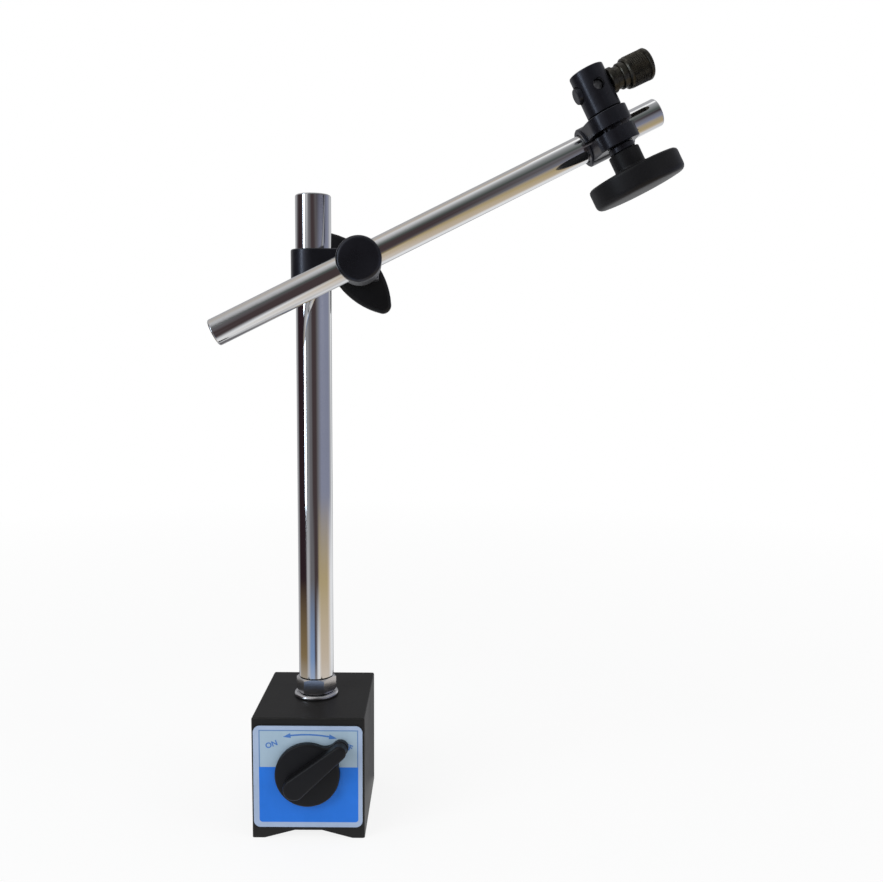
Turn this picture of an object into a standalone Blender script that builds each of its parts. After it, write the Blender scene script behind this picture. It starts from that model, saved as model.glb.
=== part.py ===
"""Magnetic base with column, swivel clamp, arm and gauge clamp, as an assembly of separate pieces.

Metres, +Z up. The origin is the middle of the base's footprint, on the surface it stands on.
The switch side of the base faces -Y and the arm points to +X.
"""

from math import acos, atan2, ceil, cos, pi, radians, sin, sqrt, tan

import bmesh
import bpy
from mathutils import Matrix, Vector

# Fits and facets
CLEARANCE = 0.0003
RUNNING_GAP = 0.001
MERGE_DISTANCE = 0.000001
CUT_MARGIN = 0.002
STEPS = 40
SMALL_STEPS = 24
ARC_STEP = radians(12)

# Magnetic base
BASE_WIDTH = 0.050
BASE_DEPTH = 0.060
BASE_HEIGHT = 0.055
BASE_EDGE = 0.0009
FOOT_WIDTH = 0.0055
RELIEF_WIDTH = 0.012
VEE_SLOPE = radians(15)
BORE_DIAMETER = 0.030
SWITCH_HEIGHT = 0.0303
PIN_DIAMETER = 0.004
PIN_LENGTH = 0.028
PIN_SPACING = 0.042

# Turning magnet
MAGNET_THICKNESS = 0.010
MAGNET_SHY = 0.0006
ROTOR_CAP_THICKNESS = 0.003
BUSH_THICKNESS = 0.004
JOURNAL_DIAMETER = 0.008
JOURNAL_REACH = 0.0045
TAIL_DIAMETER = 0.006

# Rear cover and its screws
COVER_WIDTH = 0.042
COVER_HEIGHT = 0.041
COVER_THICKNESS = 0.0016
COVER_CORNER = 0.004
SCREW_MARGIN = 0.0045
SCREW_DIAMETER = 0.004
SCREW_HEAD_DIAMETER = 0.007
SCREW_HEAD_HEIGHT = 0.0016
SCREW_LENGTH = 0.009

# Label plate and switch knob
LABEL_WIDTH = 0.0482
LABEL_HEIGHT = 0.0464
LABEL_THICKNESS = 0.0005
LABEL_CORNER = 0.003
LABEL_MIDDLE = 0.0285
SWITCH_DIAMETER = 0.0286
SWITCH_THICKNESS = 0.0030
SWITCH_EDGE = 0.0010
POINTER_ANGLE = radians(40)
POINTER_REACH = 0.0190
POINTER_TIP_RADIUS = 0.0035
POINTER_FILLET = 0.006
LEVER_HEIGHT = 0.005
LEVER_HEEL = 0.0067
LEVER_HEEL_RADIUS = 0.0049
LEVER_SHY = 0.0004
LEVER_EDGE = 0.0012

# Column, lock nut and washer
COLUMN_DIAMETER = 0.016
COLUMN_LENGTH = 0.2204
COLUMN_CHAMFER = 0.0008
STUD_DIAMETER = 0.010
STUD_WALL = 0.003
NUT_ACROSS_FLATS = 0.016
NUT_HEIGHT = 0.007
NUT_TURN = radians(25)
WASHER_DIAMETER = 0.0205
WASHER_THICKNESS = 0.0016

# Column clamp
CLAMP_MIDDLE = 0.2541
CLAMP_TALL = 0.0132
CLAMP_WALL = 0.0018
CLAMP_SLOT = 0.002
CLAMP_SWING = radians(4.2)
BOLT_OFFSET = 0.0207
LUG_REACH = 0.0085
LUG_CORNER = 0.003
BOLT_DIAMETER = 0.008

# Cap and eye bolt that hold the arm
ARM_OFFSET = 0.0245
CAP_DIAMETER = 0.0194
CAP_WALL = 0.0018
CAP_FACE = 0.0025
CAP_EDGE = 0.0018
EYE_COVER = 0.0026

# Wing knob behind the clamp
WING_WASHER_DIAMETER = 0.016
WING_WASHER_THICKNESS = 0.0015
WING_SPAN = 0.0472
WING_WIDTH = 0.0210
WING_TIP_RADIUS = 0.0040
WING_OFFSET = 0.0022
WING_THICKNESS = 0.0100
WING_EDGE = 0.0014
WING_ANGLE = radians(-50)
WING_HUB_DIAMETER = 0.016
WING_HUB_LENGTH = 0.0260
INSERT_WALL = 0.0018

# Arm
ARM_DIAMETER = 0.012
ARM_TILT = radians(26.8)
ARM_LEFT = 0.069
ARM_RIGHT = 0.1432
ARM_CHAMFER = 0.0006

# Arm clamp
GAUGE_END = 0.0256
RING_LENGTH = 0.0206
RING_WALL = 0.0021
ARM_CLAMP_ROLL = radians(-2.2)
POST_OFFSET = 0.015
EAR_RADIUS = 0.0082
EAR_STACK = 0.0144
EAR_SLOT = 0.0018

# Gauge post with its draw bolt and knurled nut
POST_DIAMETER = 0.0148
POST_LENGTH = 0.0186
POST_CHAMFER = 0.0007
POST_FLAT = 0.0064
POST_SWIVEL = radians(5)
SHANK_DIAMETER = 0.008
DRAW_HEIGHT = 0.0105
STEM_BORE = 0.0042
EYE_DIAMETER = 0.009
EYE_LEFT = 0.0037
EYE_RIGHT = 0.0055
CROSS_BORE_LEFT = 0.005
PILOT_DIAMETER = 0.007
PILOT_PROUD = 0.0013
PILOT_ROUND = 0.001
THREAD_DIAMETER = 0.006
COLLAR_DIAMETER = 0.0108
COLLAR_LENGTH = 0.0077
COLLAR_GROOVE = 0.0007
GRIP_DIAMETER = 0.0136
GRIP_LENGTH = 0.0112
GRIP_CHAMFER = 0.0009
NUT_BLIND = 0.0035

# Hand knob
KNOB_WASHER_DIAMETER = 0.0110
KNOB_WASHER_THICKNESS = 0.0024
HAND_HUB_DIAMETER = 0.0132
HAND_HUB_LENGTH = 0.0081
HAND_DIAMETER = 0.0393
HAND_RIM = 0.0095
HAND_RISE = 0.0010
HAND_DOME = 0.0012
HAND_EDGE = 0.0014
HAND_FLOOR = 0.006
HAND_INSERT_WALL = 0.001

# Places worked out from the sizes above
BORE_RADIUS = BORE_DIAMETER / 2
FRONT = -BASE_DEPTH / 2
BACK = BASE_DEPTH / 2
BORE_TOP = SWITCH_HEIGHT + BORE_RADIUS
BORE_BOTTOM = SWITCH_HEIGHT - BORE_RADIUS
VEE_HEIGHT = (BASE_WIDTH / 2 - FOOT_WIDTH - RELIEF_WIDTH / 2) * tan(VEE_SLOPE)
STUD_HOLE = STUD_DIAMETER + 2 * CLEARANCE
UPPER_GAP = STUD_HOLE + 2 * STUD_WALL
LABEL_FRONT = FRONT - CLEARANCE - LABEL_THICKNESS
SWITCH_BACK = LABEL_FRONT - CLEARANCE
SWITCH_FRONT = SWITCH_BACK - SWITCH_THICKNESS
JOURNAL_FRONT = SWITCH_BACK - JOURNAL_REACH
ROTOR_RADIUS = BORE_RADIUS - CLEARANCE
ROTOR_FRONT = FRONT + BUSH_THICKNESS + CLEARANCE
ROTOR_BACK = BACK - CLEARANCE
COVER_BACK = BACK + CLEARANCE + COVER_THICKNESS
WASHER_BASE = BASE_HEIGHT + CLEARANCE
NUT_BASE = WASHER_BASE + WASHER_THICKNESS + CLEARANCE
COLUMN_BASE = NUT_BASE + NUT_HEIGHT + CLEARANCE
COLUMN_RADIUS = COLUMN_DIAMETER / 2
CLAMP_HALF = COLUMN_RADIUS + CLEARANCE + CLAMP_WALL
ARM_RADIUS = ARM_DIAMETER / 2
ARM_HOLE_RADIUS = ARM_RADIUS + CLEARANCE
CAP_BACK = -CLAMP_HALF - CLEARANCE
CAP_BORE = CAP_DIAMETER / 2 - CAP_WALL
EYE_RADIUS = CAP_BORE - CLEARANCE
EYE_BACK = CAP_BACK - RUNNING_GAP
EYE_FRONT = -ARM_OFFSET - ARM_HOLE_RADIUS - EYE_COVER
CAP_FLOOR = EYE_FRONT - CLEARANCE
CAP_FRONT = CAP_FLOOR - CAP_FACE
WING_WASHER_FRONT = CLAMP_HALF + CLEARANCE
WING_FRONT = WING_WASHER_FRONT + WING_WASHER_THICKNESS + CLEARANCE
WING_BACK = WING_FRONT + WING_HUB_LENGTH
BOLT_BACK = WING_BACK - CLEARANCE
BOLT_HOLE = BOLT_DIAMETER + 2 * CLEARANCE
WING_INSERT_DIAMETER = BOLT_HOLE + 2 * INSERT_WALL
RING_RADIUS = ARM_HOLE_RADIUS + RING_WALL
POST_PLACE = ARM_RIGHT - GAUGE_END
POST_RADIUS = POST_DIAMETER / 2
EAR_TOP = EAR_STACK / 2
EAR_BOTTOM = -EAR_STACK / 2
POST_SEAT = EAR_TOP + CLEARANCE
POST_TOP = POST_SEAT + POST_LENGTH
DRAW_AXIS = POST_SEAT + DRAW_HEIGHT
SHANK_HOLE = SHANK_DIAMETER + 2 * CLEARANCE
KNOB_WASHER_TOP = EAR_BOTTOM - CLEARANCE
HUB_TOP = KNOB_WASHER_TOP - KNOB_WASHER_THICKNESS - CLEARANCE
RIM_TOP = HUB_TOP - HAND_HUB_LENGTH
RIM_BOTTOM = RIM_TOP - HAND_RIM
KNOB_BOTTOM = RIM_BOTTOM - HAND_DOME
HAND_BORE_FLOOR = KNOB_BOTTOM + HAND_FLOOR
HAND_INSERT_DIAMETER = SHANK_HOLE + 2 * HAND_INSERT_WALL
NUT_SEAT = POST_FLAT + CLEARANCE
NUT_END = NUT_SEAT + COLLAR_LENGTH + GRIP_LENGTH

# Turns that carry a shape's own Z axis to another axis of its frame
Z_TO_FRONT = Matrix.Rotation(radians(90), 4, "X")
Z_TO_BACK = Matrix.Rotation(radians(-90), 4, "X")
Z_TO_RIGHT = Matrix.Rotation(radians(90), 4, "Y")
UPRIGHT = Matrix.Identity(4)


def start_scene():
    """Empties the scene and makes the two collections."""
    for old in list(bpy.data.objects):
        bpy.data.objects.remove(old, do_unlink=True)
    made = []
    for name in ("magnetic_base_stand", "cutters"):
        group = bpy.data.collections.new(name)
        bpy.context.scene.collection.children.link(group)
        made.append(group)
    return made


PARTS, CUTTERS = start_scene()


def finish(name, colour, roughness, metallic):
    made = bpy.data.materials.new(name)
    made.use_nodes = True
    shader = made.node_tree.nodes["Principled BSDF"]
    shader.inputs["Base Color"].default_value = (*colour, 1.0)
    shader.inputs["Roughness"].default_value = roughness
    shader.inputs["Metallic"].default_value = metallic
    return made


BLACK_PAINT = finish("black_paint", (0.03, 0.029, 0.028), 0.45, 0.0)
BRASS = finish("brass", (0.62, 0.44, 0.16), 0.35, 1.0)
MAGNET_GREY = finish("magnet_grey", (0.10, 0.10, 0.11), 0.6, 0.6)
STEEL = finish("steel", (0.45, 0.45, 0.46), 0.35, 1.0)
BRIGHT_STEEL = finish("bright_steel", (0.72, 0.72, 0.73), 0.2, 1.0)
CHROME = finish("chrome", (0.80, 0.81, 0.83), 0.06, 1.0)
BLACK_OXIDE = finish("black_oxide", (0.05, 0.05, 0.055), 0.3, 0.85)
BLACK_PLASTIC = finish("black_plastic", (0.02, 0.02, 0.021), 0.4, 0.0)
LABEL_BLUE = finish("label_blue", (0.03, 0.18, 0.62), 0.3, 0.0)


def joint_frame(name, parent, place, turn=UPRIGHT):
    """An empty on a joint's axis. The pieces that move with the joint are its children."""
    empty = bpy.data.objects.new(name, None)
    empty.empty_display_size = COLUMN_DIAMETER
    PARTS.objects.link(empty)
    empty.parent = parent
    empty.matrix_basis = Matrix.Translation(place) @ turn
    return empty


def add_object(name, mesh, frame, turn, material):
    """Puts a mesh in a frame, as a part if it has a material and as a cutter if it has none."""
    made = bpy.data.objects.new(name, mesh)
    made.parent = frame
    made.matrix_basis = turn
    if material is None:
        CUTTERS.objects.link(made)
        made.hide_render = True
        made.display_type = "WIRE"
    else:
        PARTS.objects.link(made)
        mesh.materials.append(material)
    return made


def box(name, low, high, frame, material, turn=UPRIGHT, rounded=None, edge=0.0):
    """A box between two corners. Edges that rounded() picks by their two ends get a bevel."""
    shape = bmesh.new()
    bmesh.ops.create_cube(shape, size=1.0)
    low = Vector(low)
    size = Vector(high) - low
    for vertex in shape.verts:
        vertex.co = Vector(low[i] + (vertex.co[i] + 0.5) * size[i] for i in range(3))
    if rounded is not None:
        picked = [e for e in shape.edges if rounded(e.verts[0].co, e.verts[1].co)]
        bmesh.ops.bevel(
            shape, geom=picked, offset=edge, segments=2, profile=0.5, affect="EDGES"
        )
    mesh = bpy.data.meshes.new(name)
    shape.to_mesh(mesh)
    shape.free()
    return add_object(name, mesh, frame, turn, material)


def rod(name, radius, start, end, frame, material, turn=UPRIGHT, place=(0, 0, 0), steps=STEPS):
    """A plain cylinder along its own Z axis."""
    shape = bmesh.new()
    middle = Matrix.Translation((0, 0, (start + end) / 2))
    bmesh.ops.create_cone(
        shape, cap_ends=True, segments=steps, radius1=radius, radius2=radius,
        depth=abs(end - start), matrix=middle,
    )
    mesh = bpy.data.meshes.new(name)
    shape.to_mesh(mesh)
    shape.free()
    smooth(mesh)
    return add_object(name, mesh, frame, Matrix.Translation(place) @ turn, material)


def smooth(mesh):
    mesh.shade_smooth()
    mesh.set_sharp_from_angle(angle=radians(30))


def turned(name, profile, frame, material, turn=UPRIGHT, place=(0, 0, 0), steps=STEPS, ring=False):
    """A turned piece. The profile is (radius, height), down the outer side; a ring's profile is a loop."""
    line = bpy.data.meshes.new(name + "_profile")
    points = [(radius, 0, height) for radius, height in profile]
    edges = [(i, i + 1) for i in range(len(points) - 1)]
    if ring:
        edges.append((len(points) - 1, 0))
    line.from_pydata(points, edges, [])
    guide = bpy.data.objects.new(name + "_profile", line)
    CUTTERS.objects.link(guide)
    screw = guide.modifiers.new("turn", "SCREW")
    screw.steps = steps
    screw.render_steps = steps
    screw.use_merge_vertices = True
    screw.merge_threshold = MERGE_DISTANCE
    mesh = solid_mesh(name, guide)
    smooth(mesh)
    return add_object(name, mesh, frame, Matrix.Translation(place) @ turn, material)


def solid_mesh(name, guide):
    """The mesh that a guide object's curve or modifier makes. The guide is then removed."""
    ready = bpy.context.evaluated_depsgraph_get()
    mesh = bpy.data.meshes.new_from_object(guide.evaluated_get(ready))
    bpy.data.objects.remove(guide)
    mesh.name = name
    mesh.materials.clear()
    return mesh


def rounded_outline(corners):
    """A closed outline from (x, y, radius) corners, each rounded by an arc."""
    outline = []
    count = len(corners)
    for i, (x, y, radius) in enumerate(corners):
        here = Vector((x, y))
        before = (Vector(corners[i - 1][:2]) - here).normalized()
        after = (Vector(corners[(i + 1) % count][:2]) - here).normalized()
        if radius <= 0:
            outline.append(here)
            continue
        half = acos(max(-1.0, min(1.0, before.dot(after)))) / 2
        middle = here + (before + after).normalized() * (radius / sin(half))
        first = here + before * (radius / tan(half)) - middle
        last = here + after * (radius / tan(half)) - middle
        start = atan2(first.y, first.x)
        sweep = (atan2(last.y, last.x) - start + pi) % (2 * pi) - pi
        steps = max(2, ceil(abs(sweep) / ARC_STEP))
        for k in range(steps + 1):
            angle = start + sweep * k / steps
            outline.append(middle + Vector((cos(angle), sin(angle))) * radius)
    kept = [p for i, p in enumerate(outline) if (p - outline[i - 1]).length > MERGE_DISTANCE]
    return kept


def plate(name, outline, low, high, frame, material, turn=UPRIGHT, edge=0.0):
    """A flat outline with a thickness from low to high along its own Z axis, with softened rims."""
    drawn = bpy.data.curves.new(name + "_outline", "CURVE")
    drawn.dimensions = "2D"
    drawn.fill_mode = "BOTH"
    drawn.extrude = (high - low) / 2
    spline = drawn.splines.new("POLY")
    spline.points.add(len(outline) - 1)
    for point, (x, y) in zip(spline.points, outline):
        point.co = (x, y, 0, 1)
    spline.use_cyclic_u = True
    guide = bpy.data.objects.new(name + "_outline", drawn)
    CUTTERS.objects.link(guide)
    mesh = solid_mesh(name, guide)
    shape = bmesh.new()
    shape.from_mesh(mesh)
    bmesh.ops.remove_doubles(shape, verts=shape.verts, dist=MERGE_DISTANCE)
    flat = [e for e in shape.edges if e.is_manifold and e.calc_face_angle() < MERGE_DISTANCE]
    bmesh.ops.dissolve_edges(shape, edges=flat, use_verts=False)
    bmesh.ops.translate(shape, verts=shape.verts, vec=(0, 0, (low + high) / 2))
    bmesh.ops.recalc_face_normals(shape, faces=shape.faces)
    if edge > 0:
        caps = [f for f in shape.faces if abs(f.normal.z) > 0.9]
        rims = {e for f in caps for e in f.edges}
        bmesh.ops.bevel(
            shape, geom=list(rims), offset=edge, segments=2, profile=0.5, affect="EDGES"
        )
    shape.to_mesh(mesh)
    shape.free()
    smooth(mesh)
    return add_object(name, mesh, frame, turn, material)


def same(a, b):
    return abs(a - b) < MERGE_DISTANCE


def cut(piece, *cutters):
    for cutter in cutters:
        step = piece.modifiers.new("cut_" + cutter.name, "BOOLEAN")
        step.operation = "DIFFERENCE"
        step.object = cutter


def join(piece, other):
    step = piece.modifiers.new("join_" + other.name, "BOOLEAN")
    step.operation = "UNION"
    step.object = other


def chamfered_rod(radius, top, bottom, chamfer):
    return [
        (0, top), (radius - chamfer, top), (radius, top - chamfer),
        (radius, bottom + chamfer), (radius - chamfer, bottom), (0, bottom),
    ]


def ring_profile(inner, outer, top, bottom):
    return [(inner, top), (outer, top), (outer, bottom), (inner, bottom)]


BASE = joint_frame("base_origin", None, (0, 0, 0))
SWITCH = joint_frame("switch_axis", BASE, (0, 0, SWITCH_HEIGHT))
COLUMN = joint_frame("column_axis", BASE, (0, 0, 0), Matrix.Rotation(CLAMP_SWING, 4, "Z"))
CLAMP = joint_frame("clamp_slide", COLUMN, (0, 0, CLAMP_MIDDLE))
PIVOT = joint_frame("arm_pivot", CLAMP, (BOLT_OFFSET, 0, 0), Matrix.Rotation(-ARM_TILT, 4, "Y"))
ARM = joint_frame("arm_axis", PIVOT, (0, -ARM_OFFSET, 0))
ARM_CLAMP = joint_frame(
    "arm_clamp_axis", ARM, (POST_PLACE, 0, 0), Matrix.Rotation(ARM_CLAMP_ROLL, 4, "X")
)
POST = joint_frame(
    "post_axis", ARM_CLAMP, (0, -POST_OFFSET, 0), Matrix.Rotation(POST_SWIVEL, 4, "Z")
)
DRAW = joint_frame("draw_bolt_axis", POST, (0, 0, DRAW_AXIS))


def make_base_cutters():
    """The bore for the magnet, the V groove, the upper gap, and the holes for stud, pins and screws."""
    cutters = {}
    cutters["bore"] = rod(
        "bore_cutter", BORE_RADIUS, FRONT - CUT_MARGIN, BACK + CUT_MARGIN, SWITCH, None, Z_TO_BACK
    )
    groove_half = BASE_WIDTH / 2 - FOOT_WIDTH
    below = -CUT_MARGIN
    spread = CUT_MARGIN / tan(VEE_SLOPE)
    groove = [
        (-groove_half - spread, below, 0), (groove_half + spread, below, 0),
        (RELIEF_WIDTH / 2, VEE_HEIGHT, 0), (-RELIEF_WIDTH / 2, VEE_HEIGHT, 0),
    ]
    cutters["vee"] = plate(
        "vee_cutter", rounded_outline(groove), FRONT - CUT_MARGIN, BACK + CUT_MARGIN, BASE, None,
        Z_TO_FRONT,
    )
    cutters["upper_gap"] = box(
        "upper_gap_cutter", (-UPPER_GAP / 2, FRONT - CUT_MARGIN, SWITCH_HEIGHT),
        (UPPER_GAP / 2, BACK + CUT_MARGIN, BASE_HEIGHT + CUT_MARGIN), BASE, None,
    )
    cutters["stud"] = rod(
        "stud_cutter", STUD_HOLE / 2, SWITCH_HEIGHT, BASE_HEIGHT + CUT_MARGIN, BASE, None,
        steps=SMALL_STEPS,
    )
    return cutters


def pin_places():
    """Two dowel pins in the steel below the bore and two above it, as (name, y, z)."""
    lower = (VEE_HEIGHT + BORE_BOTTOM) / 2
    upper = (BORE_TOP + BASE_HEIGHT) / 2
    places = []
    for level, height in (("lower", lower), ("upper", upper)):
        for end, side in (("front", -1), ("rear", 1)):
            places.append((f"dowel_pin_{level}_{end}", side * PIN_SPACING / 2, height))
    return places


def screw_places():
    """The rear cover's four screws, as (name, x, z)."""
    across = COVER_WIDTH / 2 - SCREW_MARGIN
    up = COVER_HEIGHT / 2 - SCREW_MARGIN
    corners = ((-1, 1), (1, 1), (-1, -1), (1, -1))
    return [
        (f"cover_screw_{i + 1}", sx * across, SWITCH_HEIGHT + sz * up)
        for i, (sx, sz) in enumerate(corners)
    ]


def make_base():
    """Two steel pole blocks with brass bars and dowel pins between them."""
    cutters = make_base_cutters()
    pin_cutters = {"lower": [], "upper": []}
    for name, y, z in pin_places():
        half = PIN_LENGTH / 2
        rod(name, PIN_DIAMETER / 2, -half, half, BASE, STEEL, Z_TO_RIGHT, (0, y, z), SMALL_STEPS)
        hole = rod(
            name + "_cutter", PIN_DIAMETER / 2 + CLEARANCE, -half - CLEARANCE, half + CLEARANCE,
            BASE, None, Z_TO_RIGHT, (0, y, z), SMALL_STEPS,
        )
        pin_cutters["lower" if "lower" in name else "upper"].append(hole)

    screw_cutters = []
    for name, x, z in screw_places():
        screw_cutters.append(rod(
            name + "_cutter", SCREW_DIAMETER / 2 + CLEARANCE, -CUT_MARGIN - COVER_THICKNESS,
            SCREW_LENGTH - COVER_THICKNESS, BASE, None, Z_TO_FRONT, (x, BACK, z), SMALL_STEPS,
        ))

    for name, side in (("pole_block_left", -1), ("pole_block_right", 1)):
        outer = side * BASE_WIDTH / 2
        inner = side * RELIEF_WIDTH / 2
        low = (min(outer, inner), FRONT, 0)
        high = (max(outer, inner), BACK, BASE_HEIGHT)

        def outside(a, b, outer=outer):
            on_side = same(a.x, outer) and same(b.x, outer) and a.z + b.z > MERGE_DISTANCE
            on_top = same(a.z, BASE_HEIGHT) and same(b.z, BASE_HEIGHT) and same(a.y, b.y)
            return on_side or on_top

        block = box(name, low, high, BASE, BLACK_PAINT, rounded=outside, edge=BASE_EDGE)
        own_screws = [c for c in screw_cutters if c.location.x * side > 0]
        cut(block, cutters["bore"], cutters["upper_gap"], cutters["vee"])
        cut(block, *pin_cutters["lower"], *pin_cutters["upper"], *own_screws)

    upper_half = UPPER_GAP / 2 - CLEARANCE
    upper = box(
        "spacer_upper", (-upper_half, FRONT, SWITCH_HEIGHT + CLEARANCE),
        (upper_half, BACK, BASE_HEIGHT), BASE, BRASS,
    )
    cut(upper, cutters["bore"], cutters["stud"], *pin_cutters["upper"])
    lower_half = RELIEF_WIDTH / 2 - CLEARANCE
    lower = box(
        "spacer_lower", (-lower_half, FRONT, VEE_HEIGHT + CLEARANCE),
        (lower_half, BACK, SWITCH_HEIGHT), BASE, BRASS,
    )
    cut(lower, cutters["bore"], *pin_cutters["lower"])


def make_rotor():
    """The turning magnet: a flat magnet between two steel cheeks, with a cap and journal at each end."""
    front = ROTOR_FRONT + ROTOR_CAP_THICKNESS + CLEARANCE
    back = ROTOR_BACK - ROTOR_CAP_THICKNESS - CLEARANCE
    half_thick = MAGNET_THICKNESS / 2
    half_wide = sqrt(ROTOR_RADIUS**2 - half_thick**2) - MAGNET_SHY
    box(
        "rotor_magnet", (-half_wide, front, -half_thick), (half_wide, back, half_thick), SWITCH,
        MAGNET_GREY,
    )
    for name, side in (("rotor_cheek_upper", 1), ("rotor_cheek_lower", -1)):
        cheek = rod(name, ROTOR_RADIUS, front, back, SWITCH, STEEL, Z_TO_BACK)
        face = side * (half_thick + CLEARANCE)
        far = -side * (ROTOR_RADIUS + CUT_MARGIN)
        reach = ROTOR_RADIUS + CUT_MARGIN
        slice_off = box(
            name + "_cutter", (-reach, front - CUT_MARGIN, min(face, far)),
            (reach, back + CUT_MARGIN, max(face, far)), SWITCH, None,
        )
        cut(cheek, slice_off)

    journal = JOURNAL_DIAMETER / 2
    turned(
        "rotor_front_cap",
        [
            (0, -JOURNAL_FRONT), (journal, -JOURNAL_FRONT), (journal, -ROTOR_FRONT),
            (ROTOR_RADIUS, -ROTOR_FRONT), (ROTOR_RADIUS, -ROTOR_FRONT - ROTOR_CAP_THICKNESS),
            (0, -ROTOR_FRONT - ROTOR_CAP_THICKNESS),
        ],
        SWITCH, STEEL, Z_TO_FRONT,
    )
    tail = TAIL_DIAMETER / 2
    turned(
        "rotor_rear_cap",
        [
            (0, COVER_BACK), (tail, COVER_BACK), (tail, ROTOR_BACK), (ROTOR_RADIUS, ROTOR_BACK),
            (ROTOR_RADIUS, ROTOR_BACK - ROTOR_CAP_THICKNESS), (0, ROTOR_BACK - ROTOR_CAP_THICKNESS),
        ],
        SWITCH, STEEL, Z_TO_BACK,
    )
    bush = ring_profile(
        journal + CLEARANCE, BORE_RADIUS - CLEARANCE, -FRONT, -FRONT - BUSH_THICKNESS
    )
    turned("front_bush", bush, SWITCH, BRASS, Z_TO_FRONT, ring=True)


def rectangle(width, height, corner, rise=0.0):
    x = width / 2
    y = height / 2
    return rounded_outline([
        (-x, rise - y, corner), (x, rise - y, corner), (x, rise + y, corner), (-x, rise + y, corner)
    ])


def make_rear_cover():
    cover = plate(
        "rear_cover", rectangle(COVER_WIDTH, COVER_HEIGHT, COVER_CORNER), -COVER_BACK,
        -BACK - CLEARANCE, SWITCH, BLACK_PAINT, Z_TO_FRONT,
    )
    tail_hole = rod(
        "tail_cutter", TAIL_DIAMETER / 2 + CLEARANCE, BACK - CUT_MARGIN, COVER_BACK + CUT_MARGIN,
        SWITCH, None, Z_TO_BACK, steps=SMALL_STEPS,
    )
    cut(cover, tail_hole)
    head = SCREW_HEAD_DIAMETER / 2
    shank = SCREW_DIAMETER / 2
    tip = CLEARANCE + COVER_THICKNESS - SCREW_LENGTH + CLEARANCE
    for name, x, z in screw_places():
        hole = bpy.data.objects[name + "_cutter"]
        cut(cover, hole)
        under = COVER_BACK - BACK + CLEARANCE
        top = under + SCREW_HEAD_HEIGHT
        turned(
            name,
            [
                (0, top), (head * 0.6, top), (head, top - SCREW_HEAD_HEIGHT / 2), (head, under),
                (shank, under), (shank, tip), (0, tip),
            ],
            BASE, STEEL, Z_TO_BACK, (x, BACK, z), SMALL_STEPS,
        )


def make_label():
    label = plate(
        "label_plate", rectangle(LABEL_WIDTH, LABEL_HEIGHT, LABEL_CORNER, LABEL_MIDDLE),
        -FRONT + CLEARANCE, -LABEL_FRONT, BASE, LABEL_BLUE, Z_TO_FRONT,
    )
    hole = rod(
        "label_cutter", JOURNAL_DIAMETER / 2 + RUNNING_GAP, -FRONT - CUT_MARGIN,
        -LABEL_FRONT + CUT_MARGIN, SWITCH, None, Z_TO_FRONT, steps=SMALL_STEPS,
    )
    cut(label, hole)


def arc(middle, radius, start, end):
    steps = max(2, ceil(abs(end - start) / ARC_STEP))
    return [
        Vector(middle) + Vector((cos(a), sin(a))) * radius
        for a in (start + (end - start) * k / steps for k in range(steps + 1))
    ]


def pointer_outline():
    """A disc with a round-tipped pointer along +X, blended by a hollow fillet on each side."""
    disc = SWITCH_DIAMETER / 2
    far = disc + POINTER_FILLET
    near = POINTER_TIP_RADIUS + POINTER_FILLET
    x = (far**2 - near**2 + POINTER_REACH**2) / (2 * POINTER_REACH)
    y = sqrt(far**2 - x**2)
    on_disc = atan2(y, x)
    on_tip = atan2(y, x - POINTER_REACH)
    outline = arc((POINTER_REACH, 0), POINTER_TIP_RADIUS, -on_tip, on_tip)
    outline += arc((x, y), POINTER_FILLET, on_tip - pi, on_disc - pi)[1:]
    outline += arc((0, 0), disc, on_disc, 2 * pi - on_disc)[1:]
    outline += arc((x, -y), POINTER_FILLET, pi - on_disc, pi - on_tip)[1:-1]
    return outline


def lever_outline():
    """A bar along +X with round ends, from its heel on the disc to the pointer's tip."""
    tip = POINTER_TIP_RADIUS - LEVER_SHY
    lean = acos((LEVER_HEEL_RADIUS - tip) / (LEVER_HEEL + POINTER_REACH))
    outline = arc((POINTER_REACH, 0), tip, -lean, lean)
    outline += arc((-LEVER_HEEL, 0), LEVER_HEEL_RADIUS, lean, 2 * pi - lean)
    return outline


def make_switch():
    """The switch knob, a disc with a pointer and a raised lever, pressed on the rotor's journal."""
    turn = Z_TO_FRONT @ Matrix.Rotation(POINTER_ANGLE, 4, "Z")
    knob = plate(
        "switch_knob", pointer_outline(), -SWITCH_BACK, -SWITCH_FRONT, SWITCH, BLACK_PLASTIC, turn,
        SWITCH_EDGE,
    )
    lever = plate(
        "switch_lever", lever_outline(), -SWITCH_FRONT - SWITCH_THICKNESS / 2,
        -SWITCH_FRONT + LEVER_HEIGHT, SWITCH, None, turn, LEVER_EDGE,
    )
    hole = rod(
        "journal_cutter", JOURNAL_DIAMETER / 2 + CLEARANCE, -SWITCH_BACK - CUT_MARGIN,
        -JOURNAL_FRONT + CLEARANCE, SWITCH, None, Z_TO_FRONT,
    )
    join(knob, lever)
    cut(knob, hole)


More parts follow.
